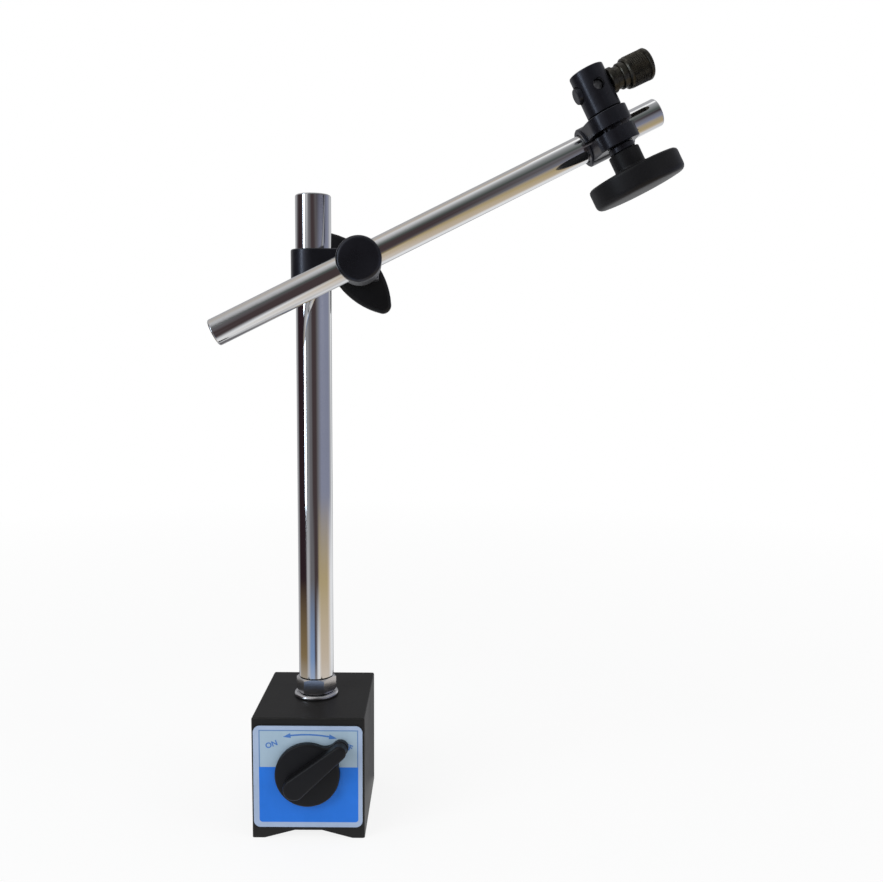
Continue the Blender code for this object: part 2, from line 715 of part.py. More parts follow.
def make_column():
    """The chromed column with its stud, the lock nut and the washer."""
    top = COLUMN_BASE + COLUMN_LENGTH
    stud_end = BORE_TOP + 2 * CLEARANCE
    stud = STUD_DIAMETER / 2
    turned(
        "column",
        [
            (0, top), (COLUMN_RADIUS - COLUMN_CHAMFER, top), (COLUMN_RADIUS, top - COLUMN_CHAMFER),
            (COLUMN_RADIUS, COLUMN_BASE), (stud, COLUMN_BASE), (stud, stud_end), (0, stud_end),
        ],
        COLUMN, CHROME,
    )
    corner = NUT_ACROSS_FLATS / 2 / cos(pi / 6)
    nut = rod(
        "lock_nut", corner, NUT_BASE, NUT_BASE + NUT_HEIGHT, COLUMN, BRIGHT_STEEL,
        Matrix.Rotation(NUT_TURN, 4, "Z"), steps=6,
    )
    nut_hole = rod(
        "nut_cutter", STUD_HOLE / 2, WASHER_BASE, COLUMN_BASE + CUT_MARGIN, COLUMN, None,
        steps=SMALL_STEPS,
    )
    cut(nut, nut_hole)
    washer = ring_profile(
        STUD_HOLE / 2, WASHER_DIAMETER / 2, WASHER_BASE + WASHER_THICKNESS, WASHER_BASE
    )
    turned("base_washer", washer, BASE, BRIGHT_STEEL, ring=True)


def make_column_clamp():
    """A split clamp round the column, pinched by the bolt through its two lugs."""
    end = BOLT_OFFSET + LUG_REACH
    outline = rounded_outline([
        (-CLAMP_HALF, -CLAMP_HALF, CLAMP_HALF), (end, -CLAMP_HALF, LUG_CORNER),
        (end, CLAMP_HALF, LUG_CORNER), (-CLAMP_HALF, CLAMP_HALF, CLAMP_HALF),
    ])
    half_tall = CLAMP_TALL / 2
    body = plate("column_clamp", outline, -half_tall, half_tall, CLAMP, BLACK_OXIDE)
    reach = half_tall + CUT_MARGIN
    bore = rod("column_cutter", COLUMN_RADIUS + CLEARANCE, -reach, reach, CLAMP, None)
    slot = box(
        "clamp_slot_cutter", (0, -CLAMP_SLOT / 2, -reach),
        (end + CUT_MARGIN, CLAMP_SLOT / 2, reach), CLAMP, None,
    )
    across = CLAMP_HALF + CUT_MARGIN
    bolt = rod(
        "bolt_cutter", BOLT_HOLE / 2, -across, across, CLAMP, None, Z_TO_BACK, (BOLT_OFFSET, 0, 0),
        SMALL_STEPS,
    )
    cut(body, bore, slot, bolt)


def make_arm_head():
    """The eye bolt whose cross hole carries the arm, and the cap that it draws against the clamp."""
    outer = CAP_DIAMETER / 2
    arm_hole = rod("arm_cutter", ARM_HOLE_RADIUS, -CAP_DIAMETER, CAP_DIAMETER, ARM, None, Z_TO_RIGHT)
    corner = arc((outer - CAP_EDGE, -CAP_FRONT - CAP_EDGE), CAP_EDGE, pi / 2, 0)
    cap = turned(
        "clamp_cap",
        [
            (0, -CAP_FRONT), *[(p.x, p.y) for p in corner], (outer, -CAP_BACK),
            (CAP_BORE, -CAP_BACK), (CAP_BORE, -CAP_FLOOR), (0, -CAP_FLOOR),
        ],
        PIVOT, BLACK_OXIDE, Z_TO_FRONT,
    )
    cut(cap, arm_hole)
    bolt = BOLT_DIAMETER / 2
    eye = turned(
        "eye_bolt",
        [
            (0, -EYE_FRONT), (EYE_RADIUS, -EYE_FRONT), (EYE_RADIUS, -EYE_BACK), (bolt, -EYE_BACK),
            (bolt, -BOLT_BACK), (0, -BOLT_BACK),
        ],
        PIVOT, STEEL, Z_TO_FRONT,
    )
    cut(eye, arm_hole)


def wing_outline():
    """A leaf of two long arcs that run into round tips, set to one side of the bolt."""
    tip = WING_TIP_RADIUS
    reach = WING_SPAN / 2 - tip
    half_wide = WING_WIDTH / 2
    side = (reach**2 + half_wide**2 - tip**2) / (2 * (half_wide - tip))
    bow = side - half_wide
    lean = atan2(bow, reach)
    outline = arc((0, -bow - WING_OFFSET), side, lean, pi - lean)
    outline += arc((-reach, -WING_OFFSET), tip, pi - lean, pi + lean)[1:]
    outline += arc((0, bow - WING_OFFSET), side, pi + lean, 2 * pi - lean)[1:]
    outline += arc((reach, -WING_OFFSET), tip, -lean, lean)[1:-1]
    return outline


def make_wing_knob():
    """The wing knob on the eye bolt's thread, with its steel insert and washer."""
    washer = ring_profile(
        BOLT_HOLE / 2, WING_WASHER_DIAMETER / 2, WING_WASHER_FRONT + WING_WASHER_THICKNESS,
        WING_WASHER_FRONT,
    )
    turned("wing_washer", washer, PIVOT, BRIGHT_STEEL, Z_TO_BACK, ring=True)
    outline = wing_outline()
    turn = Matrix.Rotation(ARM_TILT, 4, "Y") @ Z_TO_FRONT @ Matrix.Rotation(WING_ANGLE, 4, "Z")
    wing = plate(
        "wing_knob", outline, -WING_BACK, -WING_BACK + WING_THICKNESS, PIVOT, BLACK_PLASTIC, turn,
        WING_EDGE,
    )
    hub = rod(
        "wing_hub", WING_HUB_DIAMETER / 2, WING_FRONT, WING_BACK - WING_EDGE, PIVOT, None, Z_TO_BACK
    )
    insert_hole = rod(
        "wing_insert_cutter", WING_INSERT_DIAMETER / 2 + CLEARANCE, WING_FRONT - CUT_MARGIN,
        WING_BACK + CUT_MARGIN, PIVOT, None, Z_TO_BACK, steps=SMALL_STEPS,
    )
    join(wing, hub)
    cut(wing, insert_hole)
    insert = ring_profile(BOLT_HOLE / 2, WING_INSERT_DIAMETER / 2, WING_BACK, WING_FRONT)
    turned("wing_insert", insert, PIVOT, BRASS, Z_TO_BACK, steps=SMALL_STEPS, ring=True)


def make_arm():
    turned(
        "arm_rod", chamfered_rod(ARM_RADIUS, ARM_RIGHT, -ARM_LEFT, ARM_CHAMFER), ARM, CHROME,
        Z_TO_RIGHT,
    )


def make_arm_clamp():
    """A split ring on the arm, with two ears that the gauge post's shank pinches together."""
    half_ring = RING_LENGTH / 2
    body = rod("arm_clamp", RING_RADIUS, -half_ring, half_ring, ARM_CLAMP, BLACK_OXIDE, Z_TO_RIGHT)
    tip = -POST_OFFSET - EAR_RADIUS
    outline = rounded_outline([
        (-half_ring + CLEARANCE, 0, 0), (-EAR_RADIUS, tip, EAR_RADIUS), (EAR_RADIUS, tip, EAR_RADIUS),
        (half_ring - CLEARANCE, 0, 0),
    ])
    ears = plate("arm_clamp_ears", outline, EAR_BOTTOM, EAR_TOP, ARM_CLAMP, None)
    reach = half_ring + CUT_MARGIN
    bore = rod("arm_bore_cutter", ARM_HOLE_RADIUS, -reach, reach, ARM_CLAMP, None, Z_TO_RIGHT)
    slot = box(
        "ear_slot_cutter", (-reach, tip - CUT_MARGIN, -EAR_SLOT / 2), (reach, 0, EAR_SLOT / 2),
        ARM_CLAMP, None,
    )
    shank = rod(
        "shank_cutter", SHANK_HOLE / 2, EAR_BOTTOM - CUT_MARGIN, EAR_TOP + CUT_MARGIN, ARM_CLAMP, None,
        UPRIGHT, (0, -POST_OFFSET, 0), SMALL_STEPS,
    )
    join(body, ears)
    cut(body, bore, slot, shank)


def make_gauge_post():
    """The post with its shank through the ears, bored for a gauge stem and for the draw bolt."""
    head = POST_RADIUS
    shank = SHANK_DIAMETER / 2
    shank_end = HAND_BORE_FLOOR + CLEARANCE
    post = turned(
        "gauge_post",
        [
            (0, POST_TOP), (head - POST_CHAMFER, POST_TOP), (head, POST_TOP - POST_CHAMFER),
            (head, POST_SEAT), (shank, POST_SEAT), (shank, shank_end), (0, shank_end),
        ],
        POST, BLACK_OXIDE,
    )
    flat = box(
        "post_flat_cutter", (POST_FLAT, -head, -POST_LENGTH),
        (POST_DIAMETER, head, POST_LENGTH), DRAW, None,
    )
    eye_bore = rod(
        "eye_bore_cutter", EYE_DIAMETER / 2 + CLEARANCE, -CROSS_BORE_LEFT, POST_DIAMETER, DRAW, None,
        Z_TO_RIGHT,
    )
    pilot_bore = rod(
        "pilot_cutter", PILOT_DIAMETER / 2 + CLEARANCE, -POST_DIAMETER, 0, DRAW, None, Z_TO_RIGHT,
        steps=SMALL_STEPS,
    )
    stem = rod(
        "stem_cutter", STEM_BORE / 2 + CLEARANCE, -POST_DIAMETER, POST_DIAMETER, DRAW, None, Z_TO_BACK,
        steps=SMALL_STEPS,
    )
    cut(post, flat, eye_bore, pilot_bore, stem)


def make_draw_bolt():
    """The draw bolt whose eye pinches the gauge stem when the knurled nut pulls it."""
    left = -POST_RADIUS - PILOT_PROUD
    pilot = PILOT_DIAMETER / 2
    eye = EYE_DIAMETER / 2
    thread = THREAD_DIAMETER / 2
    thread_end = NUT_END - NUT_BLIND - RUNNING_GAP
    bolt = turned(
        "draw_bolt",
        [
            (0, thread_end), (thread, thread_end), (thread, EYE_RIGHT), (eye, EYE_RIGHT),
            (eye, -EYE_LEFT), (pilot, -EYE_LEFT), (pilot, left + PILOT_ROUND),
            (pilot - PILOT_ROUND, left), (0, left),
        ],
        DRAW, BLACK_OXIDE, Z_TO_RIGHT, steps=SMALL_STEPS,
    )
    stem = rod(
        "stem_eye_cutter", STEM_BORE / 2, -POST_DIAMETER, POST_DIAMETER, DRAW, None, Z_TO_BACK,
        steps=SMALL_STEPS,
    )
    cut(bolt, stem)

    collar = COLLAR_DIAMETER / 2
    grip = GRIP_DIAMETER / 2
    groove = collar - COLLAR_GROOVE
    shoulder = NUT_SEAT + COLLAR_LENGTH
    hole = thread + CLEARANCE
    third = COLLAR_LENGTH / 3
    turned(
        "knurled_nut",
        [
            (0, NUT_END), (grip - GRIP_CHAMFER, NUT_END), (grip, NUT_END - GRIP_CHAMFER),
            (grip, shoulder + GRIP_CHAMFER), (grip - GRIP_CHAMFER, shoulder), (collar, shoulder),
            (collar, shoulder - third), (groove, shoulder - third), (groove, NUT_SEAT + third),
            (collar, NUT_SEAT + third), (collar, NUT_SEAT), (hole, NUT_SEAT),
            (hole, NUT_END - NUT_BLIND), (0, NUT_END - NUT_BLIND),
        ],
        DRAW, BLACK_OXIDE, Z_TO_RIGHT,
    )


def make_hand_knob():
    """The hand knob that tightens the arm clamp, with its steel insert and washer."""
    washer = ring_profile(
        SHANK_HOLE / 2, KNOB_WASHER_DIAMETER / 2, KNOB_WASHER_TOP,
        KNOB_WASHER_TOP - KNOB_WASHER_THICKNESS,
    )
    turned("knob_washer", washer, POST, BRIGHT_STEEL, ring=True)
    hub = HAND_HUB_DIAMETER / 2
    rim = HAND_DIAMETER / 2
    bore = HAND_INSERT_DIAMETER / 2 + CLEARANCE
    dome = [(rim * share, KNOB_BOTTOM + HAND_DOME * share**2) for share in (0.97, 0.75, 0.5, 0.25, 0)]
    turned(
        "hand_knob",
        [
            (0, HAND_BORE_FLOOR), (bore, HAND_BORE_FLOOR), (bore, HUB_TOP), (hub, HUB_TOP),
            (hub, RIM_TOP + HAND_RISE), (rim - HAND_EDGE, RIM_TOP), (rim, RIM_TOP - HAND_EDGE),
            (rim, RIM_BOTTOM), *dome,
        ],
        POST, BLACK_PLASTIC,
    )
    insert = ring_profile(
        SHANK_HOLE / 2, HAND_INSERT_DIAMETER / 2, HUB_TOP, HAND_BORE_FLOOR + CLEARANCE
    )
    turned("hand_knob_insert", insert, POST, BRASS, steps=SMALL_STEPS, ring=True)


make_base()
make_rotor()
make_rear_cover()
make_label()
make_switch()
make_column()
make_column_clamp()
make_arm_head()
make_wing_knob()
make_arm()
make_arm_clamp()
make_gauge_post()
make_draw_bolt()
make_hand_knob()
bpy.context.view_layer.update()
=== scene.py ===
# %% [markdown]
# # A magnetic base stand, modelled for its picture
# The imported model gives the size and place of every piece, and the pieces here are finer versions of them.
# Its joints stay as they are, because each new piece rides on the body of the piece that it stands for. The
# frame's box is kept now, so that the last cell can show that nothing grew.

# %% Load the frame
from math import acos, atan2, ceil, cos, pi, radians, sin, sqrt, tan

import bpy
from mathutils import Matrix, Vector


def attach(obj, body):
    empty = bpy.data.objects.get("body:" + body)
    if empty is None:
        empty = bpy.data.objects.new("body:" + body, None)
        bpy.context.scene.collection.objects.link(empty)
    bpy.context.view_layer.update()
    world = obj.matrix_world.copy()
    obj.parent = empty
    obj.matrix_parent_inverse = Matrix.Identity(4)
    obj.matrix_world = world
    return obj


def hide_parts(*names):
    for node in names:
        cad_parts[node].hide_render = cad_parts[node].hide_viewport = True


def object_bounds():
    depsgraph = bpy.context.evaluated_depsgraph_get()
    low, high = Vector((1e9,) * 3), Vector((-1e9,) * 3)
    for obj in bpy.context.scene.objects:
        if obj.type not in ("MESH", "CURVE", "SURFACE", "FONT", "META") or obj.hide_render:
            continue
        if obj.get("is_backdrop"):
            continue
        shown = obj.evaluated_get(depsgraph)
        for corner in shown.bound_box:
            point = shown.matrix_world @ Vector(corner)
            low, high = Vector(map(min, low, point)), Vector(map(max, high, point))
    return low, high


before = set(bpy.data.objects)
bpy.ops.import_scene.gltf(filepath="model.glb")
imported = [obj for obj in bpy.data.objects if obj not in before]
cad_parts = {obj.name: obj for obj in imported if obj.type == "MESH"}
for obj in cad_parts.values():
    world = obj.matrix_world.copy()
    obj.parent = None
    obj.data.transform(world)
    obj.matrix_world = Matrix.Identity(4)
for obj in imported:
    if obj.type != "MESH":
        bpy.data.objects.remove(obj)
cad_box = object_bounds()

# %% [markdown]
# ## Where each piece sits
# A stand is a chain: the column stands on the base, the clamp slides on the column, the arm tilts in the
# clamp, and so on. Every place could be typed in as world numbers, but a chain of seats is easier to read.
# Each seat is a matrix that carries a piece from its own axes, where it is modelled, to its place.

# %% Seats of the moving pieces
MM = 0.001
SWITCH_HEIGHT = 30.3
COLUMN_TURN = 4.2
CLAMP_HEIGHT = 254.1
PIVOT_REACH = 20.7
ARM_TILT = 26.8
ARM_OFFSET = 24.5
ARM_CLAMP_REACH = 117.6
ARM_CLAMP_ROLL = 2.2
POST_OFFSET = 15
POST_TURN = 5
DRAW_HEIGHT = 18


def shift(x, y, z):
    return Matrix.Translation((x * MM, y * MM, z * MM))


def turn(degrees, axis):
    return Matrix.Rotation(radians(degrees), 4, axis)


BASE_SEAT = Matrix.Identity(4)
SWITCH_SEAT = shift(0, 0, SWITCH_HEIGHT)
COLUMN_SEAT = turn(COLUMN_TURN, "Z")
CLAMP_SEAT = COLUMN_SEAT @ shift(0, 0, CLAMP_HEIGHT)
PIVOT_SEAT = CLAMP_SEAT @ shift(PIVOT_REACH, 0, 0) @ turn(-ARM_TILT, "Y")
ARM_SEAT = PIVOT_SEAT @ shift(0, -ARM_OFFSET, 0)
ARM_CLAMP_SEAT = ARM_SEAT @ shift(ARM_CLAMP_REACH, 0, 0) @ turn(-ARM_CLAMP_ROLL, "X")
POST_SEAT = ARM_CLAMP_SEAT @ shift(0, -POST_OFFSET, 0) @ turn(POST_TURN, "Z")
DRAW_SEAT = POST_SEAT @ shift(0, 0, DRAW_HEIGHT)

FACING_FRONT = turn(90, "X")
FACING_BACK = turn(-90, "X")
FACING_RIGHT = turn(90, "Y")
print("gauge end of the arm:", [round(v, 4) for v in ARM_CLAMP_SEAT.translation])

# %% [markdown]
# ## The camera
# The picture was taken a little above the middle of the column, close enough for the top of the base to
# show. Its place and lens come from matching the corners of the base, the column and the arm to the
# photograph. The camera looks along its own -Z axis, so a quarter turn about X makes it look level along
# +Y. It is then tipped down by nearly six degrees and rolled by a third of one.

# %% Set the camera
PICTURE_WIDTH = 883
FOCAL_PIXELS = 950.0
CAMERA_PLACE = (58.0792, -433.1953, 218.2549)
LOOK_DOWN = 0.099906
ROLL = 0.006088
camera_data = bpy.data.cameras.new("camera")
camera_data.sensor_fit = "HORIZONTAL"
camera_data.sensor_width = 36.0
camera_data.lens = camera_data.sensor_width * FOCAL_PIXELS / PICTURE_WIDTH
camera_data.clip_start = 0.01
camera = bpy.data.objects.new("camera", camera_data)
bpy.context.scene.collection.objects.link(camera)
camera.matrix_world = (
    shift(*CAMERA_PLACE) @ Matrix.Rotation(pi / 2 - LOOK_DOWN, 4, "X") @ Matrix.Rotation(ROLL, 4, "Z")
)
bpy.context.scene.camera = camera
print("lens:", round(camera_data.lens, 2), "mm")

# %% [markdown]
# ## Shader maths
# A finish is a small sum: noise times a strength, plus a base value, mixed between two colours. Wired by
# hand it becomes a web of Math nodes, so one class wraps a socket and lets the sum be written down.
# Arithmetic on it adds Math nodes, and its node method adds any other node, settings first.

# %% A socket with arithmetic
class Socket:
    """An output of a node tree. Arithmetic on it adds Math nodes, and node() adds any other kind."""

    def __init__(self, tree, output=None):
        self.tree = tree
        self.output = output

    def node(self, kind, settings=None, values=None, output=0):
        made = self.tree.nodes.new(kind)
        for name, setting in (settings or {}).items():
            if name == "stops":
                set_stops(made.color_ramp, setting)
            else:
                setattr(made, name, setting)
        for key, value in (values or {}).items():
            if isinstance(value, Socket):
                self.tree.links.new(value.output, made.inputs[key])
            else:
                made.inputs[key].default_value = value
        return Socket(self.tree, made.outputs[output])

    def math(self, operation, *others, clamp=False):
        settings = {"operation": operation, "use_clamp": clamp}
        return self.node("ShaderNodeMath", settings, dict(enumerate((self, *others))))

    def __add__(self, other):
        return self.math("ADD", other)

    def __sub__(self, other):
        return self.math("SUBTRACT", other)

    def __rsub__(self, other):
        return self.node("ShaderNodeMath", {"operation": "SUBTRACT"}, {0: other, 1: self})

    def __mul__(self, other):
        return self.math("MULTIPLY", other)

    def __truediv__(self, other):
        return self.math("DIVIDE", other)

    __radd__ = __add__
    __rmul__ = __mul__

    def clamped(self):
        return self.math("MULTIPLY", 1.0, clamp=True)

    def tint(self, low, high):
        """A colour that goes from low to high as this value goes from 0 to 1."""
        return self.node(
            "ShaderNodeMix", {"data_type": "RGBA"}, {0: self, 6: (*low, 1), 7: (*high, 1)}, 2
        )

    def over(self, below, paint):
        """One colour laid over another where this value is 1. Either may be a socket."""
        colours = [c if isinstance(c, Socket) else (*c, 1) for c in (below, paint)]
        return self.node(
            "ShaderNodeMix", {"data_type": "RGBA"}, {0: self, 6: colours[0], 7: colours[1]}, 2
        )


def set_stops(ramp, stops):
    """Fills a new ramp from stops that start at 0 and end at 1."""
    ramp.elements[0].color = (*stops[0][1], 1)
    ramp.elements[1].color = (*stops[-1][1], 1)
    for place, colour in stops[1:-1]:
        ramp.elements.new(place).color = (*colour, 1)


print("Socket understands + - * / and node()")

# %% [markdown]
# ## Starting a finish
# Every finish reads Object coordinates, which are metres on the stand itself, so a grain has its true size.
# A noise scale of 1000 then means a grain of about one millimetre. Steady values go straight on the shader.

# %% Helpers for finishes
class Finish:
    """A new material with its Principled shader, and sockets for Object coordinates."""

    def __init__(self, name, metallic=0.0, roughness=0.4, **steady):
        self.material = bpy.data.materials.new(name)
        self.material.use_nodes = True
        tree = self.material.node_tree
        self.shader = tree.nodes["Principled BSDF"]
        self.shader.inputs["Metallic"].default_value = metallic
        self.shader.inputs["Roughness"].default_value = roughness
        for key, value in steady.items():
            self.shader.inputs[key.replace("_", " ")].default_value = value
        self.place = Socket(tree).node("ShaderNodeTexCoord", output="Object")

    def noise(self, scale, detail=3.0, roughness=0.5):
        values = {"Vector": self.place, "Scale": scale, "Detail": detail, "Roughness": roughness}
        return self.place.node("ShaderNodeTexNoise", None, values)

    def axes(self):
        made = self.place.tree.nodes.new("ShaderNodeSeparateXYZ")
        self.place.tree.links.new(self.place.output, made.inputs[0])
        return [Socket(self.place.tree, made.outputs[i]) for i in range(3)]

    def feed(self, name, socket):
        self.place.tree.links.new(socket.output, self.shader.inputs[name])

    def bump(self, height, distance, strength=1.0):
        values = {"Height": height, "Distance": distance, "Strength": strength}
        self.feed("Normal", height.node("ShaderNodeBump", None, values))


print("finishes read Object coordinates in metres")

# %% [markdown]
# ## Black paint of the base
# The base is ground steel under a satin black enamel. Sprayed enamel has a faint orange peel, and its sheen
# varies a little from hand grease. The corners and the top edges are painted a lighter grey in patches. The
# corners could be found from the mesh's bends, but the base is a box, so the distance to two of its faces at
# once is simpler and steadier.

# %% Black paint
BASE_HALF_WIDE, BASE_HALF_DEEP, BASE_HIGH = 25, 30, 55
PALE_EDGE_WIDTH = 1.2
black_paint = Finish("black_paint", roughness=0.42, Specular_IOR_Level=0.2)
peel = black_paint.noise(900, 2.0)
cloud = black_paint.noise(55, 4.0)
x, y, z = black_paint.axes()
near_side = (x.math("ABSOLUTE") - (BASE_HALF_WIDE - PALE_EDGE_WIDTH) * MM) / (PALE_EDGE_WIDTH * MM)
near_end = (y.math("ABSOLUTE") - (BASE_HALF_DEEP - PALE_EDGE_WIDTH) * MM) / (PALE_EDGE_WIDTH * MM)
near_top = (z - (BASE_HIGH - PALE_EDGE_WIDTH) * MM) / (PALE_EDGE_WIDTH * MM)
wide = near_side.math("MAXIMUM", near_end)
corner = near_side.math("MINIMUM", near_end).math("MAXIMUM", wide.math("MINIMUM", near_top))
# The corners and the top edges are painted a lighter grey in noisy patches.
pale_edges = (corner.clamped() * black_paint.noise(420, 5.0, 0.65) * 1.6 - 0.55).clamped()
body_colour = cloud.tint((0.0095, 0.0090, 0.0088), (0.0165, 0.0158, 0.0152))
black_paint.feed("Base Color", (pale_edges * 0.5).over(body_colour, (0.10, 0.10, 0.105)))
black_paint.feed("Roughness", 0.36 + cloud * 0.16 + peel * 0.05)
black_paint.bump(peel, 0.00006, 0.5)
print(black_paint.material.name, "has", len(black_paint.material.node_tree.nodes), "nodes")

# %% [markdown]
# ## Chrome
# The column and the arm are ground bars with bright chrome. Chrome is nearly a mirror, and what gives it
# away as real metal are fine grinding lines, faint finger marks and a plating that is never quite even. The
# lines are far finer than a pixel and only widen the gloss, so roughness stands for them. A slow noise in
# the roughness gives the finger marks, and a very low bump gives the plating.

# %% Chrome
chrome = Finish("chrome", metallic=1.0, roughness=0.07)
smudge = chrome.noise(38, 5.0, 0.6)
chrome.feed("Base Color", smudge.tint((0.80, 0.805, 0.81), (0.90, 0.905, 0.91)))
chrome.feed("Roughness", 0.045 + smudge * 0.06)
chrome.bump(chrome.noise(160, 2.0), 0.000012, 0.1)
print(chrome.material.name, "has", len(chrome.material.node_tree.nodes), "nodes")

# %% [markdown]
# ## Steel, brass and magnet alloy
# The lock nut, its washer and the wing's washer are zinc plated, with a soft cloudy sheen. The screws, the
# pins and the eye bolt are plain turned steel. Brass and the magnet's cast alloy are the same recipe with
# other numbers, so one function makes all four.

# %% Plain metals
def metal(name, dark, light, smooth, rough, grain):
    made = Finish(name, metallic=1.0)
    cloudy = made.noise(grain, 4.0, 0.6)
    made.feed("Base Color", cloudy.tint(dark, light))
    made.feed("Roughness", smooth + cloudy * (rough - smooth))
    made.bump(made.noise(grain * 9, 2.0), 0.00002, 0.3)
    return made


bright_steel = metal("bright_steel", (0.60, 0.60, 0.61), (0.82, 0.82, 0.83), 0.14, 0.28, 160)
plain_steel = metal("steel", (0.36, 0.36, 0.37), (0.56, 0.56, 0.57), 0.24, 0.46, 190)
brass = metal("brass", (0.50, 0.34, 0.11), (0.74, 0.53, 0.20), 0.22, 0.44, 210)
magnet_grey = metal("magnet_grey", (0.08, 0.08, 0.085), (0.16, 0.16, 0.17), 0.5, 0.75, 260)
print("metals:", bright_steel.material.name, plain_steel.material.name, brass.material.name)

# %% [markdown]
# ## Black oxide
# The clamps, the cap and the gauge post with its bolt and nut are steel from a black oxide bath. It leaves
# a thin dark skin with an oily blue sheen, which a dark metal under a thin clear coat gives. The knurled nut
# has a finish of its own, with warm grey patches at random places that stand for worn crests and are also a
# painted khaki glint.

# %% Black oxide
black_oxide = Finish("black_oxide", metallic=0.75, Coat_Roughness=0.22)
oil = black_oxide.noise(75, 4.0, 0.6)
fleck = black_oxide.noise(1300, 2.0)
black_oxide.feed("Base Color", oil.tint((0.014, 0.0145, 0.019), (0.034, 0.0355, 0.048)))
black_oxide.feed("Roughness", 0.20 + oil * 0.16 + fleck * 0.05)
black_oxide.feed("Coat Weight", 0.15 + oil * 0.25)
black_oxide.bump(fleck, 0.00002, 0.3)

knurl_oxide = Finish("knurl_oxide", metallic=0.9)
# Warm grey patches at random places stand for worn crests and are also a painted khaki glint.
wear_and_glint = (knurl_oxide.noise(700, 4.0, 0.7) * 2.2 - 0.8).clamped()
knurl_oxide.feed("Base Color", wear_and_glint.tint((0.040, 0.038, 0.033), (0.110, 0.101, 0.078)))
knurl_oxide.feed("Roughness", 0.26 + wear_and_glint * 0.12)
knurl_oxide.bump(knurl_oxide.noise(2200, 2.0), 0.00001, 0.2)
print(black_oxide.material.name, "and", knurl_oxide.material.name)

# %% [markdown]
# ## Black plastic
# The switch knob, the wing and the hand knob are moulded in black plastic. A mould with a spark-eroded wall
# leaves a fine even grain, which is what makes such a knob satin. The grain is bump, and the touch marks
# are a slow change of roughness.

# %% Black plastic
black_plastic = Finish("black_plastic", roughness=0.36, Specular_IOR_Level=0.2)
touch = black_plastic.noise(60, 4.0, 0.6)
erosion = black_plastic.noise(1700, 2.0)
black_plastic.feed("Base Color", touch.tint((0.0050, 0.0050, 0.0058), (0.0105, 0.0105, 0.0120)))
black_plastic.feed("Roughness", 0.30 + touch * 0.14 + erosion * 0.05)
black_plastic.bump(erosion, 0.00004, 0.4)
print(black_plastic.material.name, "has", len(black_plastic.material.node_tree.nodes), "nodes")

# %% [markdown]
# ## The printed label
# The label is a thin plate printed in blue on silver grey: a pale border, a fine blue frame line, a pale
# field above and a solid blue field below. The fields are straight, so each is a band of X times a band of
# Z, and the distance past a corner rounds the two lower corners of the frame. The edges of a print are
# never razor sharp, so each band fades over a tenth of a millimetre.

# %% Label print
label_print = Finish("label_print", roughness=0.3, Specular_IOR_Level=0.2, Coat_Roughness=0.12)
x, _, z = label_print.axes()
FADE = 0.00012
FRAME_MIDDLE, FRAME_REACH, FRAME_CORNER = 0.35, 20.45, 1.5
FRAME_FOOT, FRAME_TOP, FIELD_SPLIT = 7.6, 50.0, 33.1
LINE_LEFT, LINE_RIGHT, LINE_TOP = -21.15, 21.85, 49.55


def band(value, low, high):
    rise = ((value - low * MM) / FADE).clamped()
    fall = ((high * MM - value) / FADE).clamped()
    return rise * fall


sheen = label_print.noise(140, 4.0, 0.6)
speck = label_print.noise(2600, 2.0)
border = sheen.tint((0.33, 0.42, 0.58), (0.41, 0.50, 0.67))
upper = sheen.tint((0.31, 0.42, 0.52), (0.40, 0.52, 0.62))
blue = (sheen * 0.7 + speck * 0.3).tint((0.011, 0.145, 0.600), (0.019, 0.190, 0.760))
past_side = ((x - FRAME_MIDDLE * MM).math("ABSOLUTE") - FRAME_REACH * MM).math("MAXIMUM", 0.0)
past_foot = ((FRAME_FOOT + FRAME_CORNER) * MM - z).math("MAXIMUM", 0.0)
past_corner = (past_side * past_side + past_foot * past_foot).math("SQRT")
in_frame = ((FRAME_CORNER * MM - past_corner) / FADE).clamped()
inner = in_frame * band(z, FRAME_FOOT, FRAME_TOP)
line = inner * (1 - band(x, LINE_LEFT, LINE_RIGHT) * band(z, FRAME_FOOT, LINE_TOP))
lower = in_frame * band(z, FRAME_FOOT, FIELD_SPLIT)
printed = lower.over((line * 0.8).over(inner.over(border, upper), (0.05, 0.16, 0.42)), blue)
label_print.feed("Base Color", printed)
label_print.feed("Roughness", 0.26 + sheen * 0.12)
label_print.feed("Coat Weight", 0.05 + sheen * 0.1)
label_print.bump(speck, 0.00001, 0.2)

print_blue = Finish("print_blue", roughness=0.34)
print_ink = print_blue.noise(1800, 3.0)
print_blue.feed("Base Color", print_ink.tint((0.035, 0.14, 0.44), (0.075, 0.21, 0.56)))
print("label print has", len(label_print.material.node_tree.nodes), "nodes")

# %% [markdown]
# ## Tools for turned pieces
# Most of a stand comes off a lathe. A turned piece could be a profile that is spun, but following the lathe
# is as easy: one disc is extruded along the axis and resized at each step of the profile. Sizes are in
# millimetres along the piece's own Z axis, and the piece goes to its seat when it is done.

# %% Turning
MERGE_DISTANCE = 0.000002


def only(piece):
    bpy.ops.object.select_all(action="DESELECT")
    piece.select_set(True)
    bpy.context.view_layer.objects.active = piece


